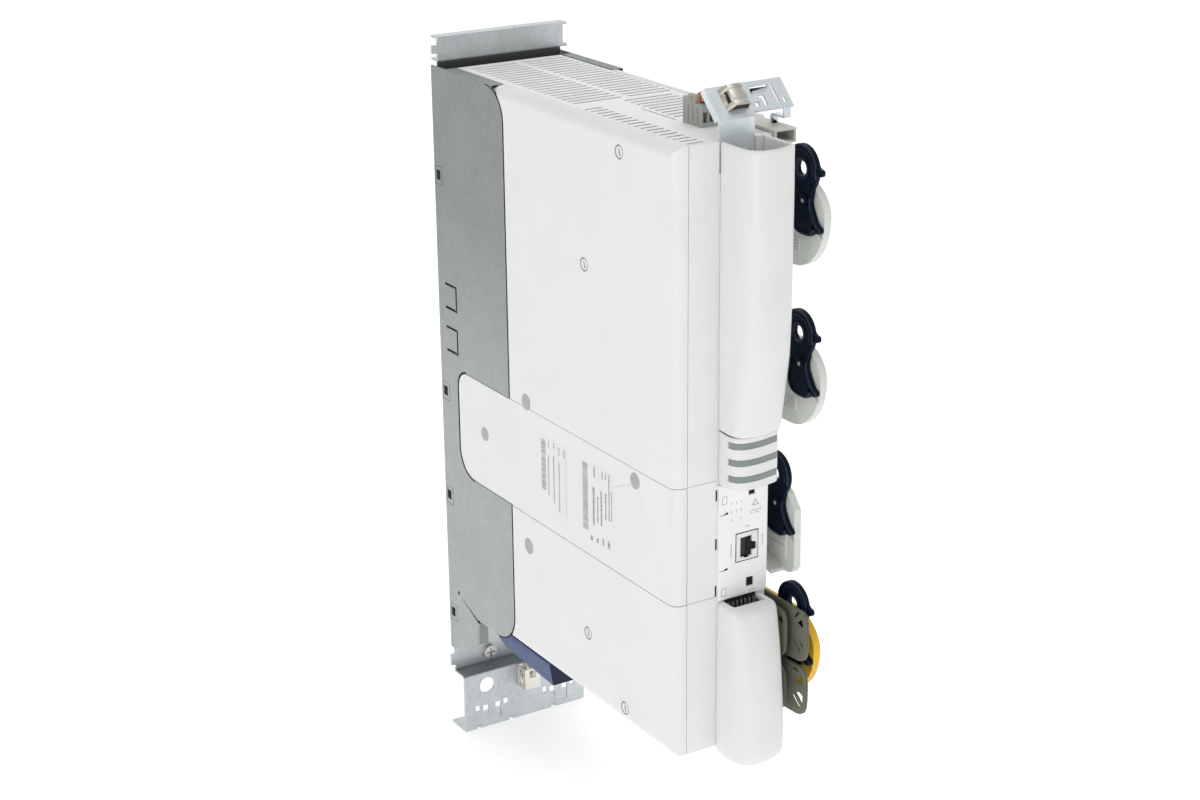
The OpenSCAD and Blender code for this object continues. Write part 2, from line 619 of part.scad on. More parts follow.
// ---------- release lever ----------
module release_lever() color("royalblue") difference() {
    yz(release_at[0], unit_w - 2 * release_at[0]) polygon([[205, -1.4], [206, -9], [198, -12.2],
        [139, -14.8], [143.5, -2.4]]);
    span([12, 150, -20], [unit_w - 12, 210, 0]);
    x_rod([0, release_at[1], release_at[2]], pivot_r + pin_gap, unit_w);
}
module release_pin() color("silver") {
    x_rod([release_at[0], release_at[1], release_at[2]], pivot_r, unit_w - 2 * release_at[0]);
    for (x = [12.5, unit_w - 16.5]) span([x, 199, -7], [x + 4, 207, 0]);
}

at_wall() mounting_base();
at_wall() side_plate();  // side_plate_left
at_wall() side_plate_right();
at_wall() base_board();
at_wall() base_plug();
at_wall() lower_shield_clamp();
at_wall() earth_screw();
at_wall() side_shell(true, seam_high + seam_gap / 2, unit_h);  // shell_left_upper
at_wall() side_shell(true, seam_low + seam_gap / 2, seam_high - seam_gap / 2);  // shell_left_middle
at_wall() side_shell(true, 0, seam_low - seam_gap / 2);  // shell_left_lower
at_wall() side_shell(false, seam_high + seam_gap / 2, unit_h);  // shell_right_upper
at_wall() side_shell(false, seam_low + seam_gap / 2, seam_high - seam_gap / 2);  // shell_right_middle
at_wall() side_shell(false, 0, seam_low - seam_gap / 2);  // shell_right_lower
at_wall() front_frame();
at_wall() top_grille();
at_wall() bottom_panel();
at_wall() heatsink();
at_wall() rear_sheet();
at_wall() fan_frame();
at_wall() fan_rotor();
at_wall() power_module();
at_wall() power_board();
at_wall() control_board();
at_wall() board_spacers();
at_wall() dc_link_capacitors();
at_wall() mains_choke();
at_wall() unit_plug();
at_wall() bay_partition();
at_wall() module_bus_board();
at_wall() module_sockets();
at_wall() housing_clips();
at_wall() cover_plugs();
at_wall() upper_cover();
at_wall() display_housing();
at_wall() status_bars();
at_wall() control_panel();
at_wall() rj45_socket();
at_wall() lower_cover();
at_wall() cover_socket();
at_wall() motor_plug();
at_wall() shield_bracket();
at_wall() upper_shield_clamp();
at_wall() control_terminal();
at_wall() terminal_lever();
at_wall() supply_connector();
at_wall() module_upper();
at_wall() module_second();
at_wall() memory_module();
at_wall() safety_module();
at_wall() ejector(0, lever_y);  // ejector_lever_1
at_wall() ejector(1, lever_y);  // ejector_lever_2
at_wall() ejector(2, memory_lever_y, false);  // ejector_lever_3
at_wall() ejector(3, lever_y);  // ejector_lever_4
at_wall() terminal_plug(51.6, 84);  // terminal_plug_upper
at_wall() terminal_plug(18.5, 49.7);  // terminal_plug_lower
at_wall() release_lever();
at_wall() release_pin();
at_wall() bracket_screws();
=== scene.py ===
"""Looks of the servo drive: materials, detailed pieces, light and camera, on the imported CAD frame."""
import bpy, bmesh, json, math, random
from mathutils import Matrix, Vector


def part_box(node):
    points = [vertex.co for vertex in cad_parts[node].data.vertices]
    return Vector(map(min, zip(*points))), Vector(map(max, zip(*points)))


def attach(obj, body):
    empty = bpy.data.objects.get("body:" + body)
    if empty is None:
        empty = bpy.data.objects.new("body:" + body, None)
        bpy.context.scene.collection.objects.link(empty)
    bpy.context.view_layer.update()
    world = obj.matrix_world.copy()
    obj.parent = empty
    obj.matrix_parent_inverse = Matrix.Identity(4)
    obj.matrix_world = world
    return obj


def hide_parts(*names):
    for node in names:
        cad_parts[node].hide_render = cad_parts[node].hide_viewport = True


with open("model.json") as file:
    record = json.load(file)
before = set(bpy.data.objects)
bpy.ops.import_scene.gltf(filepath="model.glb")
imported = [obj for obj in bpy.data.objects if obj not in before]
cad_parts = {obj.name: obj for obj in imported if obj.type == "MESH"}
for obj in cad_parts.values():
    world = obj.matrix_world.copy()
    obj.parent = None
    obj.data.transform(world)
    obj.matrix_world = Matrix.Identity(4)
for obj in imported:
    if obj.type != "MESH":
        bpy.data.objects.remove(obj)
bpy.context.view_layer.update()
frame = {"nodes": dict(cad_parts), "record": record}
NODES = frame["nodes"]

# The CAD is drawn in millimetres from the housing's front-left-bottom corner.
CORNER = Vector((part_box("side_plate_left")[0].x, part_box("front_frame")[0].y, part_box("front_frame")[0].z))
MM = Matrix.Translation(CORNER) @ Matrix.Scale(0.001, 4)


# ---------------------------------------------------------------- materials
# In metres in the shared frame: the groove round the side plates, which gets painted shade, and the top of those
# plates' bent tabs
GROOVE_SIDE = (0.0414, 0.0430)
GROOVE_FRONT = -0.170
GROOVE_HEIGHT = (0.098, 0.4395)
TAB_TOP = 0.089
# painted shade: colour of the shade in that groove
GROOVE_SHADE = (0.03, 0.03, 0.028, 1)
# painted shade: colour of the shade on the side plates' cut edges that face the front
EDGE_SHADE = (0.02, 0.021, 0.02, 1)


class Nodes:
    """Small helper that builds a node tree line by line."""

    def __init__(self, name):
        self.mat = bpy.data.materials.new(name)
        self.mat.use_nodes = True
        self.tree = self.mat.node_tree
        self.bsdf = self.tree.nodes["Principled BSDF"]
        self.coord = self.tree.nodes.new("ShaderNodeTexCoord").outputs["Object"]

    def add(self, kind, inputs=(), **settings):
        n = self.tree.nodes.new(kind)
        for k, v in settings.items():
            setattr(n, k, v)
        for k, v in dict(inputs).items():
            self.put(n.inputs[k], v)
        return n

    def put(self, socket, value):
        if isinstance(value, bpy.types.NodeSocket):
            self.tree.links.new(value, socket)
        else:
            socket.default_value = value

    def noise(self, scale, detail=3.0, rough=0.55, stretch=None):
        v = self.coord
        if stretch:
            v = self.add("ShaderNodeMapping", {"Vector": self.coord, "Scale": stretch}).outputs[0]
        return self.add("ShaderNodeTexNoise", {"Vector": v, "Scale": scale, "Detail": detail,
                                               "Roughness": rough}).outputs["Fac"]

    def ramp(self, value, low, high, a=0.0, b=1.0):
        return self.add("ShaderNodeMapRange", {"Value": value, "From Min": a, "From Max": b,
                                               "To Min": low, "To Max": high}).outputs[0]

    def mix(self, fac, a, b):
        m = self.add("ShaderNodeMix", data_type="RGBA")
        self.put(m.inputs[0], fac)
        self.put(m.inputs[6], a)
        self.put(m.inputs[7], b)
        return m.outputs[2]

    def times(self, a, b):
        return self.add("ShaderNodeMath", {0: a, 1: b}, operation="MULTIPLY").outputs[0]

    def across(self):
        """Y of the surface normal: -1 on faces that look to the front."""
        normal = self.add("ShaderNodeNewGeometry").outputs["Normal"]
        return self.add("ShaderNodeSeparateXYZ", {0: normal}).outputs[1]

    def groove_shade_mask(self):
        """One in the groove round the side plates, where painted shade goes, nought on the rest of the housing.
        """
        x, y, z = self.add("ShaderNodeSeparateXYZ", {0: self.coord}).outputs
        side = self.add("ShaderNodeMath", {0: x}, operation="ABSOLUTE").outputs[0]
        (x0, x1), y0, (z0, z1) = GROOVE_SIDE, GROOVE_FRONT, GROOVE_HEIGHT
        mask = self.ramp(side, 0.0, 1.0, x0, x0 + 0.0003)
        for part in (self.ramp(side, 1.0, 0.0, x1, x1 + 0.00005), self.ramp(y, 0.0, 1.0, y0, y0 + 0.002),
                     self.ramp(z, 0.0, 1.0, z0, z0 + 0.002), self.ramp(z, 1.0, 0.0, z1, z1 + 0.002)):
            mask = self.times(mask, part)
        return mask

    def bump(self, height, distance, strength=1.0, normal=None):
        b = self.add("ShaderNodeBump", {"Height": height, "Distance": distance, "Strength": strength})
        if normal is not None:
            self.put(b.inputs["Normal"], normal)
        return b.outputs[0]


def rgba(c, k=1.0):
    return (min(c[0] * k, 1), min(c[1] * k, 1), min(c[2] * k, 1), 1)


def plastic(name, colour, rough=0.42, grain=2600, depth=0.00003, spread=0.04, specular=0.5, coat=0.0,
            joint=False, end=None):
    """Moulded plastic: fine spark-eroded grain, faint flow marks and slightly uneven gloss."""
    n = Nodes(name)
    cloud = n.noise(26, 4)
    base = n.mix(cloud, rgba(colour, 1 - spread), rgba(colour, 1 + spread))
    # joint paints shade into the groove round the side plates
    if joint:
        base = n.mix(n.groove_shade_mask(), base, GROOVE_SHADE)
    if end is not None:  # painted shade: a darker colour on the faces that look to the front
        base = n.mix(n.ramp(n.across(), 1.0, 0.0, -0.85, -0.5), base, rgba(end))
    n.put(n.bsdf.inputs["Base Color"], base)
    fine = n.noise(grain, 2)
    n.put(n.bsdf.inputs["Roughness"], n.ramp(n.noise(60, 3), rough - 0.06, rough + 0.06, 0.3, 0.7))
    n.put(n.bsdf.inputs["Normal"], n.bump(fine, depth, 0.6, n.bump(n.noise(9, 2), 0.0004, 0.12)))
    n.bsdf.inputs["Specular IOR Level"].default_value = specular
    if coat:
        n.bsdf.inputs["Coat Weight"].default_value = coat
        n.bsdf.inputs["Coat Roughness"].default_value = 0.12
    return n.mat


def zinc(name, colour, rough=0.42, cell=420, contrast=0.09, metallic=0.68, shade=(), painted_edge_shade=False):
    """Galvanised sheet: crystals of slightly different brightness and gloss, with faint rolling lines.

    shade lists bands of painted shade as (lower height, upper height, softness, amount), in metres.
    """
    n = Nodes(name)
    warp = n.add("ShaderNodeVectorMath", {0: n.coord}, operation="ADD")
    wob = n.add("ShaderNodeTexNoise", {"Vector": n.coord, "Scale": 90.0, "Detail": 2.0}).outputs["Color"]
    small = n.add("ShaderNodeVectorMath", {0: wob, 1: (0.006, 0.006, 0.006)}, operation="MULTIPLY").outputs[0]
    n.put(warp.inputs[1], small)
    vor = n.add("ShaderNodeTexVoronoi", {"Vector": warp.outputs[0], "Scale": float(cell)})
    grey = n.add("ShaderNodeSeparateColor", {"Color": vor.outputs["Color"]}).outputs[0]
    patch = n.noise(34, 5)
    both = n.add("ShaderNodeMath", {0: grey, 1: n.ramp(patch, 0.0, 1.0, 0.3, 0.7)}, operation="ADD").outputs[0]
    tone = n.ramp(both, 0.0, 1.0, 0.2, 1.8)
    grain = n.ramp(n.noise(1500, 3), 0.0, 1.0, 0.3, 0.7)
    tone = n.add("ShaderNodeMath", {0: tone, 1: grain}, operation="ADD").outputs[0]
    tone = n.ramp(tone, 0.0, 1.0, 0.3, 1.7)
    base = n.mix(tone, rgba(colour, 1 - contrast), rgba(colour, 1 + contrast))
    up = n.add("ShaderNodeSeparateXYZ", {0: n.coord}).outputs[2]
    # painted shade: each band mixes the colour towards a tenth of itself
    for z0, z1, soft, amount in shade:
        rise, fall = n.ramp(up, 0.0, amount, z0 - soft, z0), n.ramp(up, 1.0, 0.0, z1, z1 + soft)
        base = n.mix(n.times(rise, fall), base, rgba(colour, 0.10))
    if painted_edge_shade:
        # painted shade on the cut edges that face the front, only a little on the bent tab at the bottom
        front = n.ramp(n.across(), 1.0, 0.0, -0.8, -0.35)
        base = n.mix(n.times(front, n.ramp(up, 0.35, 1.0, TAB_TOP, TAB_TOP + 0.0005)), base, EDGE_SHADE)
    n.put(n.bsdf.inputs["Base Color"], base)
    n.put(n.bsdf.inputs["Roughness"], n.ramp(tone, rough + 0.1, rough - 0.08))
    n.bsdf.inputs["Metallic"].default_value = metallic
    lines = n.noise(300, 2, 0.5, (1.0, 1.0, 0.04))
    n.put(n.bsdf.inputs["Normal"], n.bump(lines, 0.00002, 0.5, n.bump(tone, 0.00002, 0.5)))
    return n.mat


def metal(name, colour, rough=0.25, brush=None, spread=0.06):
    """Bare metal with slightly uneven gloss; a small number in brush draws its scratches out along that axis."""
    n = Nodes(name)
    cloud = n.noise(40, 4)
    n.put(n.bsdf.inputs["Base Color"], n.mix(cloud, rgba(colour, 1 - spread), rgba(colour, 1 + spread)))
    n.put(n.bsdf.inputs["Roughness"], n.ramp(cloud, rough - 0.06, rough + 0.08, 0.3, 0.7))
    n.bsdf.inputs["Metallic"].default_value = 1.0
    n.put(n.bsdf.inputs["Normal"], n.bump(n.noise(500, 2, 0.5, brush or (1, 1, 1)), 0.00002, 0.5))
    return n.mat


HOUSING_WHITE = (0.86, 0.865, 0.86)
WHITE = plastic("housing_white_moulded", HOUSING_WHITE, 0.5)
# the shells carry painted shade in the groove round the side plates
SHELL = plastic("shell_white_moulded", HOUSING_WHITE, 0.5, joint=True)
COVER = plastic("cover_white_satin", (0.83, 0.835, 0.83), 0.36, depth=0.000012, coat=0.12)
# a lighter copy of the housing white, painted light on the recessed control panel and on the top grille
PANEL = plastic("panel_white", (0.94, 0.945, 0.94), 0.5)
# bands of painted shade on the sheets, as zinc() takes them: under the rail, at the step, and towards the side
# plates' top
UNDER_RAIL = (0.4432, 0.4478, 0.0010, 0.92)
AT_STEP = (0.0402, 0.0410, 0.0010, 0.42)
TOWARDS_TOP = (0.36, 0.4447, 0.125, 0.34)
ZINC = zinc("galvanised_sheet", (0.60, 0.64, 0.65), shade=(UNDER_RAIL, AT_STEP))
BRIGHT = zinc("bright_zinc_sheet", (0.80, 0.87, 0.90), 0.36, 260, 0.05, 0.55)
SIDE = zinc("side_sheet_grey", (0.425, 0.462, 0.452), 0.55, 300, 0.05, 0.3, shade=(TOWARDS_TOP,),
            painted_edge_shade=True)
NICKEL = metal("nickel_spring_steel", (0.80, 0.77, 0.70), 0.30, (0.05, 1, 1))
STEEL = metal("screw_plated_steel", (0.58, 0.58, 0.57), 0.22)
ALU = metal("heatsink_aluminium", (0.74, 0.75, 0.77), 0.35, (1, 1, 0.03))
GREEN = plastic("solder_mask_green", (0.03, 0.20, 0.09), 0.25, 700, 0.00006, 0.15)
BLACK = plastic("black_moulded", (0.02, 0.02, 0.022), 0.45)
GREY = plastic("terminal_grey", (0.40, 0.40, 0.38), 0.5)
BEIGE = plastic("connector_beige", (0.64, 0.63, 0.58), 0.5)
PLUG = plastic("plug_grey_green", (0.165, 0.17, 0.125), 0.5, specular=0.3)
NAVY = plastic("lever_navy", (0.003, 0.009, 0.021), 0.34, specular=0.09)
# painted highlight: a lighter navy on the levers' raised rims
RIM = plastic("lever_rim_navy", (0.007, 0.014, 0.042), 0.26, specular=0.35)
# the release lever's faces that look to the front get painted shade, a darker navy
BLUE = plastic("release_lever_blue", (0.055, 0.09, 0.22), 0.4, end=(0.006, 0.012, 0.045))
ORANGE = plastic("lever_orange", (0.80, 0.27, 0.08), 0.4)
MODULE = plastic("module_pale_grey", (0.72, 0.745, 0.70), 0.5)
YELLOW = plastic("module_yellow", (0.86, 0.50, 0.02), 0.45)
BAR = plastic("status_bar_smoke", (0.22, 0.26, 0.255), 0.25, coat=0.4)
DOT = plastic("cover_plug_grey", (0.44, 0.455, 0.42), 0.5)
SLEEVE = plastic("capacitor_sleeve", (0.02, 0.03, 0.10), 0.25)
COPPER = metal("choke_copper", (0.70, 0.36, 0.18), 0.35, (1, 1, 0.02))
SOCKET = plastic("socket_dark", (0.03, 0.03, 0.03), 0.4)
# painted shade: a near black put into gaps, holes and recesses where shade falls
SHADE = plastic("dark_recess", (0.018, 0.017, 0.016), 0.7, specular=0.15)
PRINT = plastic("faint_grey_print", (0.42, 0.43, 0.43), 0.5)
INK = plastic("label_ink_grey", (0.24, 0.24, 0.245), 0.5)
CARD = plastic("label_card", (0.70, 0.72, 0.67), 0.5)
FRAME = plastic("label_frame_white", (0.90, 0.91, 0.88), 0.4)
# painted shade: contact metal darkened for the shaded contacts of the network socket; the same near black lies
# inside the upper clamp
CAVE = plastic("darkened_contact_metal", (0.10, 0.09, 0.07), 0.5)
CLIP = plastic("clip_ring_grey", (0.26, 0.28, 0.26), 0.45)

SLOT_LOOK = {
    "housing_white": WHITE, "cover_white": COVER, "zinc_sheet": ZINC, "zinc_bracket": BRIGHT, "side_zinc": SIDE,
    "spring_nickel": NICKEL, "screw_steel": STEEL, "aluminium": ALU, "pcb_green": GREEN, "black_plastic": BLACK,
    "grey_terminal": GREY, "beige_plastic": BEIGE, "plug_grey_green": PLUG, "lever_navy": NAVY,
    "release_blue": BLUE, "orange_plastic": ORANGE, "module_grey": MODULE, "safety_yellow": YELLOW,
    "bar_grey": BAR, "plug_dot_grey": DOT, "capacitor_sleeve": SLEEVE, "copper_core": COPPER,
    "socket_dark": SOCKET,
}
SLOT_OF = {s["node"]: s["material_slot"] for s in frame["record"]["subparts"]}
SHELL_ROUNDING, OTHER_ROUNDING = 0.3, 0.15  # millimetres


def dress(node):
    """Gives a CAD node its material and softened edges."""
    o, is_shell = NODES[node], node.startswith("shell")
    o.data.materials.clear()
    o.data.materials.append(SHELL if is_shell else SLOT_LOOK[SLOT_OF[node]])
    o.modifiers.new("weld", "WELD").merge_threshold = 0.000002
    b = o.modifiers.new("edges", "BEVEL")
    b.width, b.segments, b.limit_method = (SHELL_ROUNDING if is_shell else OTHER_ROUNDING) / 1000, 2, "ANGLE"
    b.angle_limit = math.radians(28)
    b.use_clamp_overlap = True
    b.harden_normals = True


for name in NODES:
    dress(name)


# ---------------------------------------------------------------- building tools, all in CAD millimetres
def arc(c, r, a0, a1, n=12):
    """Points on a circle from angle a0 to a1, in degrees."""
    return [(c[0] + r * math.cos(math.radians(a0 + (a1 - a0) * i / n)),
             c[1] + r * math.sin(math.radians(a0 + (a1 - a0) * i / n))) for i in range(n + 1)]


def rectangle(a0, b0, a1, b1):
    """Corners of a rectangle in the plane of a plate."""
    return [(a0, b0), (a1, b0), (a1, b1), (a0, b1)]


def smooth(points, closed=True, steps=4):
    """Curve through the points (Catmull-Rom)."""
    n, out = len(points), []
    for i in range(n if closed else n - 1):
        def at(k):
            return points[k % n] if closed else points[max(0, min(n - 1, k))]
        p0, p1, p2, p3 = at(i - 1), at(i), at(i + 1), at(i + 2)
        for s in range(steps):
            t = s / steps
            out.append(tuple(0.5 * (2 * b + (c - a) * t + (2 * a - 5 * b + 4 * c - d) * t * t
                                    + (3 * b - a - 3 * c + d) * t ** 3)
                             for a, b, c, d in zip(p0, p1, p2, p3)))
    return out if closed else out + [tuple(points[-1])]


def inset(points, d, closed=True):
    """Ring moved inwards by d; the ring runs anticlockwise."""
    n, out = len(points), []
    for i in range(n):
        a = points[(i - 1) % n] if closed or i else points[0]
        b = points[(i + 1) % n] if closed or i < n - 1 else points[-1]
        t = Vector((b[0] - a[0], b[1] - a[1]))
        t = t.normalized() if t.length > 1e-9 else Vector((1, 0))
        out.append((points[i][0] - d * t.y, points[i][1] + d * t.x))
    return out


PLANE = {
    "yz": lambda at: Matrix(((0, 0, 1, at), (1, 0, 0, 0), (0, 1, 0, 0), (0, 0, 0, 1))),
    "xz": lambda at: Matrix(((1, 0, 0, 0), (0, 0, 1, at), (0, 1, 0, 0), (0, 0, 0, 1))),
    "xy": lambda at: Matrix(((1, 0, 0, 0), (0, 1, 0, 0), (0, 0, 1, at), (0, 0, 0, 1))),
}


SHARP = 38  # degrees between faces from which an edge stays sharp


class Piece:
    """Mesh built up from rounded plates, blocks, turned parts and lofts."""

    def __init__(self, tilt=None):
        self.bm = bmesh.new()
        self.tilt = tilt
        self.look = 0

    def take(self, bm, matrix=None):
        """Adds a bmesh to the piece, in its present look, and frees it."""
        if matrix is not None:
            bmesh.ops.transform(bm, matrix=matrix, verts=bm.verts)
        if self.tilt is not None:
            bmesh.ops.transform(bm, matrix=self.tilt, verts=bm.verts)
        bmesh.ops.recalc_face_normals(bm, faces=bm.faces)
        for f in bm.faces:
            f.material_index = self.look
        me = bpy.data.meshes.new("part")
        bm.to_mesh(me)
        bm.free()
        self.bm.from_mesh(me)
        bpy.data.meshes.remove(me)

    def plate(self, plane, at, depth, outline, holes=(), edge=0.25, res=2):
        """Plate with an outline and holes, all its rims rounded."""
        cu = bpy.data.curves.new("outline", "CURVE")
        cu.dimensions, cu.fill_mode = "2D", "BOTH"
        for ring in [outline] + list(holes):
            sp = cu.splines.new("POLY")
            sp.points.add(len(ring) - 1)
            for q, w in zip(sp.points, ring):
                q.co = (w[0], w[1], 0, 1)
            sp.use_cyclic_u = True
        edge = min(edge, depth * 0.45)
        cu.extrude, cu.bevel_depth, cu.bevel_resolution, cu.offset = depth / 2 - edge, edge, res, -edge
        o = bpy.data.objects.new("outline", cu)
        me = bpy.data.meshes.new_from_object(o)
        bm = bmesh.new()
        bm.from_mesh(me)
        bpy.data.objects.remove(o)
        bpy.data.curves.remove(cu)
        bpy.data.meshes.remove(me)
        bmesh.ops.remove_doubles(bm, verts=bm.verts, dist=0.002)
        bmesh.ops.translate(bm, vec=(0, 0, depth / 2), verts=bm.verts)
        self.take(bm, PLANE[plane](at))

    def block(self, a, b, edge=0.25):
        """Block between two opposite corners, its edges rounded."""
        bm = bmesh.new()
        bmesh.ops.create_cube(bm, size=1)
        for v in bm.verts:
            v.co = [a[i] + (v.co[i] + 0.5) * (b[i] - a[i]) for i in range(3)]
        edge = min(edge, 0.45 * min(b[i] - a[i] for i in range(3)))
        bmesh.ops.bevel(bm, geom=list(bm.edges), offset=edge, segments=2, affect="EDGES", profile=0.5)
        self.take(bm)

    def turn(self, profile, origin, axis, seg=40):
        """Turned part: profile is (radius, height along the axis), closed onto the axis by radius 0."""
        bm = bmesh.new()
        rings = []
        for r, h in profile:
            if r <= 1e-6:
                rings.append([bm.verts.new((0, 0, h))])
            else:
                rings.append([bm.verts.new((r * math.cos(2 * math.pi * i / seg),
                                            r * math.sin(2 * math.pi * i / seg), h)) for i in range(seg)])
        for p, q in zip(rings, rings[1:]):
            for i in range(seg):
                j = (i + 1) % seg
                if len(p) == 1 and len(q) > 1:
                    bm.faces.new((p[0], q[j], q[i]))
                elif len(q) == 1 and len(p) > 1:
                    bm.faces.new((p[i], p[j], q[0]))
                elif len(p) > 1:
                    bm.faces.new((p[i], p[j], q[j], q[i]))
        rot = Vector((0, 0, 1)).rotation_difference(Vector(axis)).to_matrix().to_4x4()
        self.take(bm, Matrix.Translation(origin) @ rot)

    def loft(self, rings):
        """Solid through rings that all have as many points."""
        bm = bmesh.new()
        rows = [[bm.verts.new(p) for p in r] for r in rings]
        n = len(rows[0])
        for p, q in zip(rows, rows[1:]):
            for i in range(n):
                j = (i + 1) % n
                bm.faces.new((p[i], p[j], q[j], q[i]))
        bm.faces.new(rows[0][::-1])
        bm.faces.new(rows[-1])
        self.take(bm)

    def strip(self, path, width, thick, side):
        """Bent strip of sheet along a path; side is the direction of its width."""
        side = Vector(side).normalized()
        rings = []
        for i, p in enumerate(path):
            t = (Vector(path[min(i + 1, len(path) - 1)]) - Vector(path[max(i - 1, 0)])).normalized()
            up = side.cross(t).normalized()
            rings.append([Vector(p) + side * a * width / 2 + up * b * thick / 2
                          for a, b in ((-1, -0.7), (-0.96, -1), (0.96, -1), (1, -0.7),
                                       (1, 0.7), (0.96, 1), (-0.96, 1), (-1, 0.7))])
        self.loft(rings)

    def done(self, name, looks, body, stands_for=(), slot=None):
        """Makes the object: it rides on a body, and stands for CAD nodes or only adds to them."""
        bmesh.ops.transform(self.bm, matrix=MM, verts=self.bm.verts)
        me = bpy.data.meshes.new(name)
        self.bm.to_mesh(me)
        self.bm.free()
        for look in (looks if isinstance(looks, (list, tuple)) else [looks]):
            me.materials.append(look)
        for f in me.polygons:
            f.use_smooth = True
        me.set_sharp_from_angle(angle=math.radians(SHARP))
        o = bpy.data.objects.new(name, me)
        bpy.context.scene.collection.objects.link(o)
        if stands_for:
            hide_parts(*stands_for)
        slot = slot or (SLOT_OF[stands_for[0]] if stands_for else None)
        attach(o, body)


BODY_OF = {n: b for b, nodes in frame["record"]["behaviour"]["bodies"].items() for n in nodes}


# ---------------------------------------------------------------- front covers
SEAT = -0.3        # where the covers end, just in front of the housing
FULL_DEPTH = 30.2  # depth of the section below
COVER_WALL = 2.2
SECTION = [(58.2, -0.3), (58.2, -8), (58.2, -15), (58.2, -21.6), (57.9, -23.8), (56.9, -25.6), (54.6, -26.9),
           (50.6, -28.2), (46, -29.6), (41.2, -30.2), (36.8, -29.9), (33, -28.4), (30.2, -25.6), (28.5, -21.4),
           (27.9, -16), (27.9, -10), (28.2, -4.5), (28.6, -0.3)]
SKIN = smooth(SECTION, closed=False, steps=4)[::-1]
MIDDLE, LEFT_HALF, NARROWING = 40, 13, 1.2


def skin(depth, grow=0.0, wall=COVER_WALL):
    """U-shaped section of a cover, outer and inner line from left to right.

    A shallow section is a little narrower on its left, and grow moves both lines into the wall.
    """
    k = (depth + SEAT) / (FULL_DEPTH + SEAT)
    outer = [(x + (NARROWING * (1 - k) * (MIDDLE - x) / LEFT_HALF if x < MIDDLE else 0), SEAT + (y - SEAT) * k)
             for x, y in SKIN]
    a, b = inset(outer, grow, False), inset(outer, wall - grow, False)
    return [(x, min(y, SEAT)) for x, y in a], [(x, min(y, SEAT)) for x, y in b]


def band(outer, inner, z, keep=None):
    """Ring at height z between the two lines of a section, or between the kept points of both."""
    keep = list(range(len(outer))) if keep is None else keep
    return [(*outer[i], z) for i in keep] + [(*inner[i], z) for i in keep[::-1]]


def cover_rings(levels):
    """Rings of an open cover, for levels of (height, depth, grow)."""
    return [band(*skin(depth, grow), z) for z, depth, grow in levels]


def solid_rings(levels):
    """The same for a cover's closed end."""
    return [[(x, y, z) for x, y in skin(depth, grow)[0]] for z, depth, grow in levels]


def between(table, z):
    """Value at z in a table of (z, value), straight between its rows."""
    for (z0, d0), (z1, d1) in zip(table, table[1:]):
        if z0 <= z <= z1:
            return d0 + (d1 - d0) * (z - z0) / (z1 - z0)
    return table[-1][1] if z > table[-1][0] else table[0][1]


# depth of the upper cover by height
UPPER = smooth([(191.4, 20.4), (196, 21.6), (204, 23.2), (212, 25), (220, 26.6), (228, 28), (237, 29.4),
                (246, 30.1), (258, 30.6), (271, 30.8), (298, 30.9), (330, 30.8), (349.9, 30.4)], closed=False)
UPPER_HEIGHTS = [192] + [196 + 4.2 * i for i in range(36)] + [347.6, 348.9]
UPPER_RIM = [(349.35, 30.4, 0.12), (349.7, 30.4, 0.34), (349.9, 30.4, 0.66)]
UPPER_FLOOR = [(191.45, 20.4, 0.5), (191.6, 20.5, 0.2), (191.95, 20.6, 0.02), (193.6, 21, 0.02), (194, 21, 0.6)]
SNAP_RIB = [(-27, 268), (-22, 262), (-3, 262), (-3, 300), (-8, 318), (-20, 322), (-26, 322)]
c = Piece()
c.loft(cover_rings([(z, between(UPPER, z), 0.0) for z in UPPER_HEIGHTS] + UPPER_RIM))
c.loft(solid_rings(UPPER_FLOOR))
for x in (33.6, 51.4):
    c.plate("yz", x, 1.2, SNAP_RIB, edge=0.2)
c.block((30.5, -4.2, 300), (56.5, -2.8, 331), 0.3)
c.done("upper_cover_shell", COVER, "upper_cover", ["upper_cover"])

# depth of the lower cover by height
LOWER = smooth([(-4, 24.4), (-3.3, 26.2), (-1.8, 28.2), (1.5, 29.6), (6, 30.2), (12, 30.3), (22, 29.8),
                (34, 28.9), (46, 27.6), (54, 26.6), (62, 25.4), (72, 23.5), (82, 21.2), (87, 19.6),
                (89.5, 18)], closed=False)
LOWER_HEIGHTS = [-1.8, 0, 2, 4, 6, 9, 12, 16, 20, 25, 30, 36, 42, 48, 54, 60, 66, 72, 76, 80, 83]
LOWER_FLOOR = [(-4, 22.6, 3.2), (-3.85, 24.2, 2.0), (-3.3, 26.2, 0.9), (-2.6, 27.4, 0.3), (-1.7, 28.3, 0.0),
               (-0.6, 28.3, 1.0)]
MOUTH = [(33, -0.3), (33, -9.4), (34.2, -10.6), (52.6, -10.6), (53.8, -9.4), (53.8, -0.3)]
MOUTH_MIDDLE, MOUTH_REAR = 43, -5
RIBS, RIB_PITCH = 7, 2.8
# the rounded top: height and grow of the outer line, grow and height of the mouth's line
LOWER_TOP = [((82.9, 0.0), (0, 84)), ((85.4, 0.0), (0, 86)), ((87.2, 0.15), (0, 87.4)),
             ((88.4, 0.75), (0.05, 88.6)), ((89.1, 1.5), (0.25, 89.1)), ((89.35, 2.4), (0.6, 89.35))]


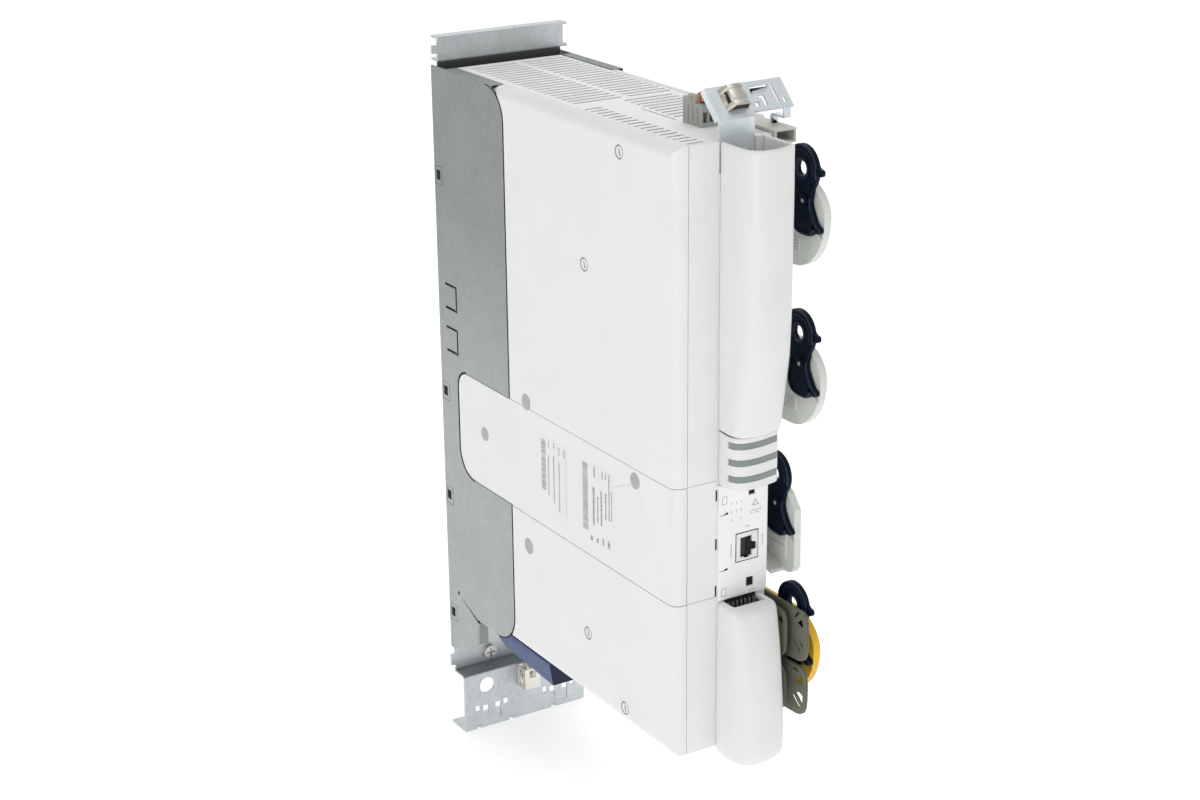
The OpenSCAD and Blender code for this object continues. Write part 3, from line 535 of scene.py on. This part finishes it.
def mouth_line(count, grow):
    """Edge of the lower cover's mouth, with as many points as the outer line."""
    lengths = [0]
    for p, q in zip(MOUTH, MOUTH[1:]):
        lengths.append(lengths[-1] + math.dist(p, q))
    out = []
    for i in range(count):
        s = lengths[-1] * i / (count - 1)
        for k in range(len(MOUTH) - 1):
            if s <= lengths[k + 1] + 1e-9:
                t = (s - lengths[k]) / (lengths[k + 1] - lengths[k])
                x, y = (MOUTH[k][j] + (MOUTH[k + 1][j] - MOUTH[k][j]) * t for j in (0, 1))
                out.append((x + (grow if x > MOUTH_MIDDLE else -grow), y - (grow if y < MOUTH_REAR else 0)))
                break
    return out


def top_ring(outer_z, outer_grow, mouth_grow, mouth_z):
    """Ring of the rounded top: the cover's outer line and the mouth's line."""
    outer = skin(between(LOWER, outer_z), outer_grow)[0]
    mouth = mouth_line(len(outer), mouth_grow)
    return [(x, y, outer_z) for x, y in outer] + [(x, y, mouth_z) for x, y in mouth[::-1]]


c = Piece()
c.loft(cover_rings([(z, between(LOWER, z), 0.0) for z in LOWER_HEIGHTS]))
c.loft(solid_rings(LOWER_FLOOR))
c.loft([top_ring(*outer, *mouth) for outer, mouth in LOWER_TOP])
# ribbed cable rest inside the mouth: back, front, floor and both sides near black as painted shade, then its
# ribs
c.look = 1
for a, b in (((33.3, -1.5, 62), (53.5, -0.7, 90.2)), ((33.4, -10.2, 62), (53.4, -9.4, 86.5)),
             ((33.4, -9.4, 60), (53.4, -2.9, 62)), ((32.7, -10.2, 62), (33.3, -2.9, 86.5)),
             ((53.5, -10.2, 62), (54.1, -2.9, 86.5))):
    c.block(a, b, 0.1)
c.look = 2
for i in range(RIBS):
    c.block((35.0 + RIB_PITCH * i, -3.2, 64), (35.4 + RIB_PITCH * i, -1.4, 88.2), 0.1)
c.done("lower_cover_shell", [COVER, SHADE, CLIP], "lower_cover", ["lower_cover"])

# display housing with the three smoked bars set into it, and painted shade in the gap above
BAR_HEIGHTS = (166.8, 176.3, 185.9)
DISPLAY_DEPTH = 18
BAR_GROOVE = [(-2.0, 0.0), (-1.85, 0.12), (-1.8, 0.7), (1.8, 0.7), (1.85, 0.12), (2.0, 0.0)]
BAR_SECTION = [(-1.75, 0.25), (-1.55, 0.05), (1.55, 0.05), (1.75, 0.25)]
c = Piece()
levels = [(159.7, 16.6, 1.0), (160.1, 17.4, 0.3), (160.8, 17.8, 0.0)]
levels += [(z + dz, DISPLAY_DEPTH, grow) for z in BAR_HEIGHTS for dz, grow in BAR_GROOVE]
levels += [(190.1, 17.9, 0.0), (190.5, 17.7, 0.25), (190.7, 17.4, 0.7)]
c.loft(solid_rings(levels))
# near-black ring: painted shade in the gap under the upper cover
c.look = 1
c.loft(solid_rings([(190.7, 17.6, 0.45), (191.35, 17.8, 0.45)]))
c.done("display_body", [COVER, SHADE], "unit", ["display_housing"])

c = Piece()
outer, _ = skin(DISPLAY_DEPTH, 0.12, 1.0)
front = [i for i, p in enumerate(outer) if p[1] < -9.6]
for z in BAR_HEIGHTS:
    c.loft([band(*skin(DISPLAY_DEPTH, 0.06 + grow, 1.0), z + dz, front) for dz, grow in BAR_SECTION])
c.done("status_bar_windows", BAR, "unit", ["status_bars"])

# the same housing wall left of the bars
c = Piece()
outer, inner = skin(DISPLAY_DEPTH, 0.0, 1.2)
left_end = [i for i, p in enumerate(outer) if p[1] > -9.9 and p[0] < MIDDLE]
for z in BAR_HEIGHTS:
    c.loft([band(outer, inner, z + dz, left_end) for dz in (-1.95, 1.95)])
c.done("display_wall_ends", COVER, "unit", slot="cover_white")


# ---------------------------------------------------------------- ejector levers
# Sizes round a lever's pivot; x of the lever's left face
LEVER_X = 72.9
RING, RING_R = (2.9, 16.6), 13.2
EYE, EYE_R = (2.5, 16.8), 4.2
PIVOTS = {"ejector_lever_1": (-13.8, 315.5), "ejector_lever_2": (-13.8, 225), "ejector_lever_3": (5.5, 137.5),
          "ejector_lever_4": (-13.8, 65)}
NO_KNOB = "ejector_lever_3"
BODY = smooth([(-6.9, 7.6), (-5.6, 3.4), (-4.9, -1), (-6.4, -5), (-8.4, -8.4), (-10.8, -11.6), (-13.6, -13),
               (-14.3, -14.2), (-13.7, -15.5), (-11.4, -15.9), (-9.2, -15), (-8, -16), (-6.9, -17.6),
               (-5.4, -18.5), (-2.6, -18.8), (1.5, -18.8), (6, -18), (9.4, -15.6), (11.1, -11.6),
               (11.2, -7.4), (10.4, -3.6), (9.9, 0), (10.4, 3.4)], closed=False, steps=3)
KNOB = smooth([(-9.8, 20.2), (-11.2, 19), (-12.8, 18.6), (-14, 18.1), (-14.4, 16.9), (-14.3, 15.6),
               (-13.2, 14.8), (-11.6, 14.9), (-10.1, 14.2)], closed=False, steps=3)
NOTCH = smooth([(-9.6, -13.6), (-8.1, -11.6), (-6.2, -12.6), (-6.7, -14.2), (-8.4, -14.4)], steps=4)
PIN_CAP = [(0, 0), (3.1, 0), (3.3, -0.2), (3.3, -1.2), (3.0, -1.5), (1.4, -1.6), (1.2, -1.35), (0, -1.35)]
PIN_DOT = [(0, -1.3), (1.15, -1.3), (1.15, -1.55), (0.9, -1.75), (0, -1.8)]


def lever(name, y, z, knob):
    """Ejector lever with its pivot at y, z."""
    def at(ring):
        return [(p[0] + y, p[1] + z) for p in ring]

    end = KNOB if knob else arc(RING, RING_R, 166, 188, 4)
    outline = arc(RING, RING_R, -48, 163, 40) + end + arc(RING, RING_R, 192, 214, 6) + BODY
    eye = at(arc(EYE, EYE_R, 0, 350, 35))
    body = Piece()
    body.plate("yz", LEVER_X, 2.6, at(outline), [eye, at(arc((0, 0), 2.25, 0, 350, 35)), at(NOTCH)], 0.35)
    # raised rims in a lighter navy, as painted highlight: one along the edge, one inside it, one round the eye
    # and one along the lower half
    body.look = 2
    for outer_r, inner_r, x, depth in ((13.1, 11.9, 72.05, 1.0), (10.3, 9.5, 72.25, 0.9)):
        rim = arc(RING, outer_r, -38, 196, 56) + arc(RING, inner_r, 196, -38, 56)
        body.plate("yz", x, depth, at(rim), edge=0.3)
    body.plate("yz", 72.3, 0.9, at(arc(EYE, 5.8, 0, 350, 35)), [eye], 0.3)
    low = [p for p in BODY if p[1] < 2.4]
    body.plate("yz", 72.2, 0.9, at(low + inset(low, 1.3, False)[::-1]), edge=0.3)
    # cap over the pivot pin
    body.look = 0
    body.turn(PIN_CAP, (LEVER_X, y, z), (1, 0, 0), 32)
    body.look = 1
    body.turn(PIN_DOT, (LEVER_X, y, z), (1, 0, 0), 24)
    body.done(name + "_body", [NAVY, DOT, RIM], BODY_OF[name], [name])


for name, (y, z) in PIVOTS.items():
    lever(name, y, z, name != NO_KNOB)


# label frames on the modules, each with a card and plain marks: y, z from the lever's pivot, number of
# marks and their pitch
SMALL_FRAME, LARGE_FRAME = ((-6.4, 5), (-30.4, -23), 3, 1.7), ((0, 19), (-33.4, -4), 6, 4)
for node, lever_node, ((y0, y1), (low, high), count, pitch) in (
        ("module_upper", "ejector_lever_1", SMALL_FRAME), ("module_second", "ejector_lever_2", SMALL_FRAME),
        ("safety_module", "ejector_lever_4", SMALL_FRAME), ("memory_module", "ejector_lever_3", LARGE_FRAME)):
    c = Piece()
    z0, z1 = PIVOTS[lever_node][1] + low, PIVOTS[lever_node][1] + high
    rim = rectangle(y0, z0, y1, z1)
    c.plate("yz", 75.55, 0.6, rim, [inset(rim, 0.55)], 0.12)
    c.look = 1
    c.plate("yz", 75.8, 0.35, inset(rim, 0.7), edge=0.05)
    c.look = 2
    for k in range(count):
        z = z1 - 2.0 - pitch * k
        c.plate("yz", 75.74, 0.1, rectangle(y0 + 1.6, z, y1 - 1.6 - k % 2 * 2, z + 0.5), edge=0.02)
    c.done(node + "_label_frame", [FRAME, CARD, PRINT], BODY_OF[node], slot=SLOT_OF[node])


# ---------------------------------------------------------------- control panel and network socket
PANEL_FACE = -2.2   # y of the panel's front face
PRINT_FACE = -2.25  # y of the marks on it
PANEL_HOLES = [rectangle(39.5, 111.3, 54.8, 128.6), rectangle(48, 149.8, 52.4, 153),
               rectangle(47, 95, 52, 100.6)]
HOLE_FLOORS = [((38.5, -0.9, 110.5), (55.8, -0.5, 129.4)), ((47, -1.0, 148.8), (53.2, -0.6, 154)),
               ((46, -1.0, 94), (53, -0.6, 101.6))]
TRIANGLE = [(52.4, 147.2), (54.9, 143.2), (50.0, 143.2)]
TRIANGLE_HOLE = [(52.4, 146.3), (51.0, 143.7), (53.9, 143.7)]
PRINTED_BARS = [  # x, z, width and height
    (36.2, 146.8, 0.5, 1.2), (39.4, 146.8, 0.5, 1.2), (42.6, 146.8, 0.5, 1.2), (36.2, 141.6, 0.5, 1.6),
    (39.4, 141.6, 0.5, 1.6), (42.6, 141.6, 0.5, 1.6), (36.2, 137, 0.5, 1.2), (42.6, 137, 0.5, 1.2),
    (48.3, 140.2, 8.6, 0.4), (49.2, 138.6, 1.4, 0.5), (52, 138.6, 2.6, 0.5), (45.6, 131.4, 3.4, 0.5),
    (36.2, 115.5, 0.5, 8), (57.3, 118, 0.5, 7), (48.6, 92.4, 4.6, 0.45)]
c = Piece()
c.plate("xz", PANEL_FACE, 2.1, rectangle(28.5, 90.7, 60.9, 159.1), PANEL_HOLES, 0.3)
# painted shade: near-black floors in the holes, the curved cuts and the latch gaps
c.look = 1
for a, b in HOLE_FLOORS:
    c.block(a, b, 0.05)
for z in (108.2, 141.5):  # curved cuts at the left edge
    c.plate("xz", -2.24, 0.2, [(28.6, z - 0.12), (31.4, z), (34.1, z + 0.15), (34.3, z + 0.9), (33.4, z + 1.5),
                               (31.2, z + 0.35), (28.6, z + 0.12)], edge=0.03)
for z in (93, 121, 150):  # gaps of the latches between panel and housing
    c.block((27.55, -0.05, z), (28.15, 0.4, z + 6.4), 0.05)
# faint printed marks: an empty triangle, short bars and two empty frames
c.look = 2
c.plate("xz", PRINT_FACE, 0.1, TRIANGLE, [TRIANGLE_HOLE], 0.02)
for x, z, w, h in PRINTED_BARS:
    c.block((x, PRINT_FACE, z), (x + w, -2.15, z + h), 0.02)
for z0 in (147.6, 92.6):
    c.plate("xz", PRINT_FACE, 0.1, [(30, z0), (33.4, z0 + 0.4), (33.4, z0 + 5.2), (30, z0 + 4.8)],
            [[(30.4, z0 + 0.45), (33, z0 + 0.8), (33, z0 + 4.8), (30.4, z0 + 4.4)]], 0.02)
c.done("control_panel_front", [PANEL, SHADE, PRINT], "unit", ["control_panel"])

# socket: the frame with its stepped mouth, and in painted shade the gap round it, the room behind with its walls
# and eight contacts
SOCKET_MOUTH = [(42.6, 113.7), (45.2, 113.7), (45.2, 113), (48.6, 113), (48.6, 113.7), (50.5, 113.7),
                (50.5, 116.6), (53.6, 116.9), (53.6, 121.1), (50.5, 122), (50.5, 125.8), (42.6, 125.4)]
SOCKET_WALLS = [((41.4, -2.1, 112.6), (42.6, 8, 127)), ((53.7, -2.1, 112.6), (54.2, 8, 127)),
                ((42, -2.1, 126), (54, 8, 127)), ((42, -2.1, 112.4), (54, 8, 113))]
SOCKET_CONTACTS, SOCKET_PITCH = 8, 1.18
c = Piece()
c.look = 1
c.plate("xz", -2.14, 0.4, rectangle(39.4, 111.1, 54.9, 128.8), [rectangle(40.2, 112, 54.1, 127.9)], 0.05)
c.look = 0
c.plate("xz", -2.38, 1.4, rectangle(39.95, 111.75, 54.35, 128.15), [SOCKET_MOUTH], 0.15)
c.look = 1
c.block((41, -0.95, 112.4), (54, 9, 127.5), 0.1)
for a, b in SOCKET_WALLS:
    c.block(a, b, 0.05)
c.look = 2
for i in range(SOCKET_CONTACTS):
    c.block((43.6, -1.2, 115.2 + SOCKET_PITCH * i), (46.4, -1.0, 115.6 + SOCKET_PITCH * i), 0.05)
c.done("network_socket", [COVER, SHADE, CAVE], "unit", ["rj45_socket"])


# ---------------------------------------------------------------- top grille, the lower part of its slot walls near black as painted shade
SLOT_PITCH, SLOT_WIDTH = 6.2, 2.4
SLOT_ROWS = [((11, 22), 4.6, 17), ((14, 45.5), 121, 20), ((49.5, 79), 121, 20), ((42, 74), 62, 9)]
GRILLE = [(8.95, 3.45), (57.4, 3.45), (57.4, 45.45), (61.9, 45.45), (61.9, 60.1), (76.5, 60.1), (76.5, 45.45),
          (81, 45.45), (81, 247.8), (8.95, 247.8)]
slots = [rectangle(x0, y0 + SLOT_PITCH * i, x1, y0 + SLOT_WIDTH + SLOT_PITCH * i)
         for (x0, x1), y0, count in SLOT_ROWS for i in range(count)]
c = Piece()
c.plate("xy", 348.9, 1.05, GRILLE, slots, 0.18, 1)
c.look = 1
c.plate("xy", 347.1, 1.8, GRILLE, slots, 0.05, 1)
c.block((38, 56, 349.6), (38.5, 90, 350.02), 0.02)
c.done("vent_grille", [PANEL, SHADE], "unit", ["top_grille"])


# ---------------------------------------------------------------- marks on the housing's sides
# round clips: most of the ring and a tongue are grey, the rest of the ring is lighter, a white pin fills
# the hole
CLIP_SITES = ((53, 338), (90, 267), (90.5, 41.5), (50.6, 9.7))
CLIP_R = 4.1
c = Piece()
for x, pin_x in ((-0.05, 0.0), (89.95, 89.2)):
    for y, z in CLIP_SITES:
        c.look = 0
        c.plate("yz", x, 0.1, arc((y, z), CLIP_R, -125, 100, 30) + arc((y, z), 3.1, 100, -125, 30), edge=0.02)
        c.plate("yz", x, 0.1, [(y + 0.7, z + 1.7), (y - 0.5, z + 1.7), (y - 1.5, z - 1.9), (y - 0.3, z - 1.9)],
                edge=0.02)
        # the lighter part of the ring is a painted highlight
        c.look = 2
        c.plate("yz", x, 0.1, arc((y, z), CLIP_R, 102, 233, 18) + arc((y, z), 3.3, 233, 102, 18), edge=0.02)
        c.look = 1
        c.turn([(0, 0), (2.55, 0), (2.55, 0.8), (0, 0.8)], (pin_x, y, z), (1, 0, 0), 24)
c.done("housing_clip_rings", [CLIP, SHELL, DOT], "unit", ["housing_clips"])


# ---------------------------------------------------------------- shield clamps
# the upper clamp lies on the bracket's slanted head: outer and inner line of its bent sheet, seen from above
TILT = Matrix.Translation((0, 1.2, 361)) @ Matrix.Rotation(math.radians(-45), 4, "X")
OUTER = [(35.25, -0.05), (38.3, -4.9), (38.8, -5.35), (39.5, -5.5), (47.2, -5.5), (47.8, -5.3), (48.1, -4.8),
         (49.5, -0.05)]
INNER = [(48.7, -0.05), (47.5, -4.4), (47.0, -4.75), (39.7, -4.75), (39.1, -4.5), (36.15, -0.05)]
WINDOW_LOW, WINDOW_DEPTH = 7.4, 6.9
c = Piece(TILT)
c.plate("xy", 4.35, 3.1, OUTER + INNER, edge=0.05)
c.plate("xy", 14.2, 3.2, OUTER + INNER, edge=0.05)
for outline in ([(37.8, -4.1)] + OUTER[1:] + INNER[:5] + [(38.4, -3.7)],
                [(35.25, -0.05), (36.55, -2.1), (37.3, -1.8), (36.15, -0.05)]):
    c.plate("xy", WINDOW_LOW, WINDOW_DEPTH, outline, edge=0.05)
for x, y in ((36.6, -1.6), (40.6, -5.1), (45.4, -5.1)):  # teeth on its upper edge
    c.block((x, y - 0.3, 16.6), (x + 1.1, y + 0.3, 17.36), 0.15)
c.strip([(47.2, -4.9, 4.6), (48.4, -5.1, 3.5), (49.7, -4.6, 3.3), (50.2, -3.5, 3.9)], 1.7, 0.6, (0, 1, 1))
c.look = 1
c.block((37.2, -0.65, 4.8), (48.4, -0.1, 17), 0.1)
c.done("shield_clamp_spring", [NICKEL, CAVE], "unit", ["upper_shield_clamp"])

# the lower clamp is a box of four bent walls with three springs inside
CLAMP_TOP, CLAMP_LOW_LEFT, CLAMP_LOW_RIGHT = -55.7, -70.4, -70.9
SIDE_WINDOW = smooth([(241, -67.4), (245.2, -67.8), (245.6, -63), (245.2, -58.4), (241, -58.2),
                      (240.6, -63)], steps=4)


def clamp_wall(a0, a1):
    """Wall between two places across, its lower edge a little slanted."""
    return [(a0, CLAMP_LOW_LEFT), (a1, CLAMP_LOW_RIGHT), (a1, CLAMP_TOP), (a0, CLAMP_TOP)]


c = Piece()
c.plate("xz", 237.55, 0.8, clamp_wall(40.1, 51.9), [rectangle(43.6, -62.4, 48.4, -57.4)], 0.2)
for x in (40.1, 51.1):
    c.plate("yz", x, 0.8, clamp_wall(237.7, 248.9), [SIDE_WINDOW], 0.2)
c.plate("xz", 248.15, 0.8, rectangle(40.1, CLAMP_LOW_RIGHT, 51.9, CLAMP_TOP), edge=0.2)
for x in (42.3, 45.6, 48.9):
    c.strip([(x, 248.1, -58), (x, 245.6, -60), (x, 244.6, -64), (x, 246, -68.6)], 1.6, 0.6, (1, 0, 0))
c.done("lower_clamp_spring", NICKEL, BODY_OF["lower_shield_clamp"], ["lower_shield_clamp"])


# ---------------------------------------------------------------- plugs, windows and joints of the side faces
# round plugs over the housing screws (y, z, radius), with a fine joint round each; the right side is shorter
PLUG_SITES = ((158, 165.6, 5.0), (210, 129, 4.4), (38.8, 155.1, 4.7), (158.3, 72.6, 5.0))
RIGHT_SIDE_FRONT = 60
c = Piece()
for y, z, r in PLUG_SITES:
    disc = [(0, -0.10), (r - 1.0, -0.10), (r - 0.5, -0.05), (r - 0.25, 0.0), (r - 0.25, 2), (0, 2)]
    gap = [(r - 0.25, -0.02), (r, -0.02), (r, 0.6), (r - 0.25, 0.6), (r - 0.25, -0.02)]
    for x, inwards in ((0, 1), (90, -1)):
        if x == 0 or y > RIGHT_SIDE_FRONT:
            c.look = 0
            c.turn(disc, (x, y, z), (inwards, 0, 0), 40)
            c.look = 1
            c.turn(gap, (x, y, z), (inwards, 0, 0), 40)
c.done("housing_plugs", [DOT, CLIP], "unit", ["cover_plugs"])

# frames pressed round the clinch windows of the left side plate, and the slots round its two tongues, drawn near
# black as painted shade
c = Piece()
for z in (-14, 69, 140, 280):
    rim = rectangle(254.6, z - 3, 263.4, z + 8.6)
    c.plate("yz", -0.05, 0.1, rim, [inset(rim, 0.35)], 0.02)
    c.block((-0.04, 257.4, z - 0.1), (0.02, 262.1, z + 6.1), 0.02)
for z in (171, 199):
    c.plate("yz", -0.05, 0.1, [(256, z + 16.6), (241.3, z + 16.6), (241.3, z - 0.2), (256, z - 0.2),
                               (256, z + 0.5), (242, z + 0.5), (242, z + 15.9), (256, z + 15.9)], edge=0.02)
c.done("clinch_window_frames", SHADE, BODY_OF["side_plate_left"], slot="side_zinc")

# painted shadow along each side plate's front edge, where its gap to the housing lies, in three runs
SEAM_HIGH, SEAM_LOW = 162, 92.6
PLATE_FRONT = 178
EDGE_RUNS = [arc((198, 330), 20, 90, 180) + [(PLATE_FRONT, SEAM_HIGH + 0.5)],
             arc((232, SEAM_HIGH - 11), 11, 90, 0, 8) + arc((225, SEAM_LOW + 18), 18, 0, -90, 8),
             [(PLATE_FRONT, SEAM_LOW - 0.5)] + arc((199, 17), 21, 180, 270)]
for node, x in (("side_plate_left", -0.04), ("side_plate_right", 89.94)):
    c = Piece()
    for run in EDGE_RUNS:
        c.plate("yz", x, 0.1, run + inset(run, 0.8, False)[::-1], edge=0.02)
    c.done(node + "_front_edge_shadow", SHADE, BODY_OF[node], slot="side_zinc")


# ---------------------------------------------------------------- terminal plugs
# each is two thin wings with windows and a socket block between them; (lower, upper edge), then the windows
PLUG_BACK = 42.7
WINDOWS = {
    "terminal_plug_upper": ((51.6, 84), [
        [(-19.4, 78.3), (-20.9, 78.3), (-24.9, 82.6), (-23.4, 82.8)],
        [(-22.5, 75.6), (-26.8, 79.5), (-28.2, 75.3), (-26.3, 74.0)],
        [(-19.1, 63.7), (-20.7, 64.7), (-26.0, 59.7), (-25.0, 58.5)],
        [(-23.2, 66.6), (-28.1, 64.1), (-28.0, 61.6), (-25.9, 63.1)]]),
    "terminal_plug_lower": ((18.5, 49.7), [
        [(-19.4, 45.8), (-21.3, 47.9), (-25.2, 47.7), (-24.5, 45.9)],
        [(-21.5, 40.5), (-26.5, 44.8), (-29.4, 43.1), (-27.7, 38.9)],
        [(-19.3, 29.5), (-21.0, 30.6), (-26.7, 25.6), (-25.3, 24.5)],
        [(-22.5, 32.3), (-25.9, 34.0), (-29.0, 32.8), (-29.0, 28.3), (-27.3, 28.2), (-25.1, 30.5)]]),
}
LEFT_WING, RIGHT_WING = 61.3, 67.4
LEFT_NOSE, RIGHT_NOSE = -20, -32
CONTACTS, CONTACT_PITCH = 5, 4.4


def wing(low, high, nose):
    """Outline of a wing, its front end at y = nose."""
    lower = [(PLUG_BACK, low + 3), (-4, low), (nose + 8, low + 1.2), (nose + 4.6, low + 2.2),
             (nose + 2.2, low + 4), (nose + 0.8, low + 7), (nose + 0.1, low + 12)]
    upper = [(nose, high - 11), (nose + 0.5, high - 5.5), (nose + 1.6, high - 2.6), (nose + 3.2, high - 0.8),
             (nose + 5.4, high - 0.1), (PLUG_BACK, high)]
    return (lower + upper)[::-1]


for node, ((z0, z1), cuts) in WINDOWS.items():
    c = Piece()
    left_cut = [(y + 10.5, z) for y, z in cuts[1]]
    for x, high, nose, holes in ((LEFT_WING, z1 - 1.5, LEFT_NOSE, [left_cut]),
                                 (RIGHT_WING, z1, RIGHT_NOSE, cuts)):
        line = wing(z0, high, nose)
        c.plate("yz", x, 1.0, line, holes, 0.2)
        c.plate("yz", x + 0.1, 1.7, line, [inset(line, 0.8)], 0.25)
    rises = [CONTACT_PITCH * i for i in range(CONTACTS)]
    sockets = [rectangle(63.8, z0 + 5.5 + rise, 66.6, z0 + 8.3 + rise) for rise in rises]
    c.plate("xz", 16, 10, rectangle(63, z0 + 4, 67.5, z1 - 4), sockets, 0.2)
    c.block((63, 26, z0 + 4), (67.5, PLUG_BACK, z1 - 4), 0.2)
    c.look = 1
    for rise in rises:
        c.turn([(0, 0), (0.9, 0), (0.9, 1.2), (0, 1.2)], (65.2, 21, z0 + 6.9 + rise), (0, 1, 0), 16)
    c.done(node + "_body", [PLUG, COPPER], BODY_OF[node], [node])


# ---------------------------------------------------------------- rating labels
# cards as y0, y1, z0, z1; rows of plain bars as y, z0, z1 and width, where the wide rows are the dense ones
LABELS = [(111, 146.4, 99.2, 151), (60.2, 100, 101.2, 151)]
LABEL_CORNER = 1.2
MARKS = [(138.3, 116.6, 148.5, 5.5), (132.4, 145, 149, 1), (132.8, 114.5, 139.4, 1.2), (126.5, 146.1, 149.7, 1),
         (126.8, 111.6, 141, 1.2), (120.6, 143.6, 148.8, 1), (120.8, 108, 139.7, 1.2), (115, 143.8, 149, 1.2),
         (113, 108, 149, 0.3), (91.4, 107.9, 148.9, 6), (81.6, 143, 149.2, 1.4), (82.5, 113.5, 136.9, 2.2),
         (78.1, 115.9, 132.5, 1.4), (73.1, 144.6, 148.9, 1.2), (74.2, 115.7, 137, 1.8),
         (69.5, 145.5, 149.4, 1.2), (69.4, 121.3, 137, 1.4), (65.9, 121.7, 149.8, 1.2), (63.4, 122, 140, 0.9),
         (84.9, 103.1, 105.6, 2.6), (78.4, 103.5, 106.1, 2.2), (72.4, 104.1, 107.8, 2),
         (66.3, 104.3, 108.9, 2.6)]
DENSE = 3  # width above which a row is dense
BAR_LENGTHS = {True: (0.25, 0.9), False: (0.5, 1.9)}
GAP_LENGTHS = {True: (0.25, 0.7), False: (0.3, 0.6)}
rnd = random.Random(7)
c = Piece()
for y0, y1, z0, z1 in LABELS:
    r = LABEL_CORNER
    centres = ((y1 - r, z0 + r, 270), (y1 - r, z1 - r, 0), (y0 + r, z1 - r, 90), (y0 + r, z0 + r, 180))
    card = [q for y, z, start in centres for q in arc((y, z), r, start, start + 90, 4)]
    c.plate("yz", -0.06, 0.1, card, edge=0.02)
c.look = 1
for y, z, z1, w in MARKS:
    dense = w > DENSE
    while z < z1:
        step = rnd.uniform(*BAR_LENGTHS[dense])
        end = min(z + step, z1)
        low, high = y - w / 2 * rnd.uniform(0.7, 1), y - w / 2 * rnd.uniform(0.7, 1)
        c.plate("yz", -0.09, 0.05, [(low, z), (y + w / 2, z), (y + w / 2, end), (high, end)], edge=0.01, res=0)
        z += step + rnd.uniform(*GAP_LENGTHS[dense])
c.done("rating_labels", [COVER, INK], "unit", slot="housing_white")


# ---------------------------------------------------------------- floor, light, camera, all in metres
floor_mat = plastic("studio_floor", (0.93, 0.93, 0.93), 0.6, spread=0.004)
floor_bsdf = floor_mat.node_tree.nodes["Principled BSDF"]
floor_bsdf.inputs["Emission Color"].default_value = (1, 1, 1, 1)
floor_bsdf.inputs["Emission Strength"].default_value = 0.45
FLOOR_FRONT, FLOOR_BACK, FLOOR_HALF_WIDTH = -6.0, 1.6, 7.0
SWEEP_R, BACKDROP_TOP, SWEEP_STEPS = 1.5, 5.0, 12
SWEEP_TURN = -31.758   # degrees, square to the camera
FLOOR_Z = -0.0006


def sweep():
    """Pale floor that curves up into a backdrop."""
    bm = bmesh.new()
    prof = [(FLOOR_FRONT, 0.0), (FLOOR_BACK, 0.0)]
    for i in range(1, SWEEP_STEPS + 1):
        a = math.radians(i * 90 / SWEEP_STEPS)
        prof.append((FLOOR_BACK + SWEEP_R * math.sin(a), SWEEP_R - SWEEP_R * math.cos(a)))
    prof.append((FLOOR_BACK + SWEEP_R, BACKDROP_TOP))
    ring = [[bm.verts.new((x, y, z)) for y, z in prof] for x in (-FLOOR_HALF_WIDTH, FLOOR_HALF_WIDTH)]
    for a, b, c, d in zip(ring[0], ring[0][1:], ring[1][1:], ring[1]):
        bm.faces.new((a, b, c, d))
    me = bpy.data.meshes.new("studio_sweep")
    bm.to_mesh(me)
    bm.free()
    o = bpy.data.objects.new("studio_sweep", me)
    for p in me.polygons:
        p.use_smooth = True
    me.materials.append(floor_mat)
    bpy.context.scene.collection.objects.link(o)
    o.matrix_world = Matrix.Rotation(math.radians(SWEEP_TURN), 4, "Z") @ Matrix.Translation((0, 0, FLOOR_Z))


sweep()


def area(name, place, target, size, power):
    """Rectangular light at a place, turned to a target."""
    light = bpy.data.lights.new(name, "AREA")
    light.shape, light.size, light.size_y, light.energy = "RECTANGLE", size[0], size[1], power
    o = bpy.data.objects.new(name, light)
    bpy.context.scene.collection.objects.link(o)
    o.location = place
    o.rotation_mode = "QUATERNION"
    o.rotation_quaternion = (Vector(target) - Vector(place)).to_track_quat("-Z", "Y")


area("key_left", (-2.2, -1.0, 1.4), (0, -0.1, 0.25), (1.6, 1.6), 5.5)
area("low_left", (-1.1, -1.0, 0.2), (0, -0.25, 0.15), (0.9, 0.6), 2.2)
area("fill_front", (0.8, -2.4, 1.2), (0, -0.1, 0.25), (1.8, 1.4), 5.5)
area("top_soft", (0.0, -0.2, 2.4), (0, -0.1, 0.2), (2.2, 2.2), 13.5)
world = bpy.data.worlds.new("studio")
bpy.context.scene.world = world
world.use_nodes = True
background = world.node_tree.nodes["Background"]
background.inputs[0].default_value = (1, 1, 1, 1)
background.inputs[1].default_value = 0.40

# camera: where it stands and how it is turned, in radians
CAMERA_PLACE = (-0.665315, -1.195483, 0.710113)
YAW, PITCH, ROLL = 0.554278, 0.344396, -0.010227
SENSOR_WIDTH, FOCAL_LENGTH = 36.0, 67.115
cam_data = bpy.data.cameras.new("view")
cam = bpy.data.objects.new("view", cam_data)
bpy.context.scene.collection.objects.link(cam)
cam_data.sensor_width, cam_data.lens = SENSOR_WIDTH, FOCAL_LENGTH
forward = Vector((math.sin(YAW) * math.cos(PITCH), math.cos(YAW) * math.cos(PITCH), -math.sin(PITCH)))
right = Vector((math.cos(YAW), -math.sin(YAW), 0))
up = right.cross(forward)
rolled_right = math.cos(ROLL) * right + math.sin(ROLL) * up
rolled_up = -math.sin(ROLL) * right + math.cos(ROLL) * up
turn = Matrix((rolled_right, rolled_up, -forward)).transposed().to_4x4()
cam.matrix_world = Matrix.Translation(CAMERA_PLACE) @ turn
bpy.context.scene.camera = cam
bpy.context.scene.view_settings.view_transform = "Standard"
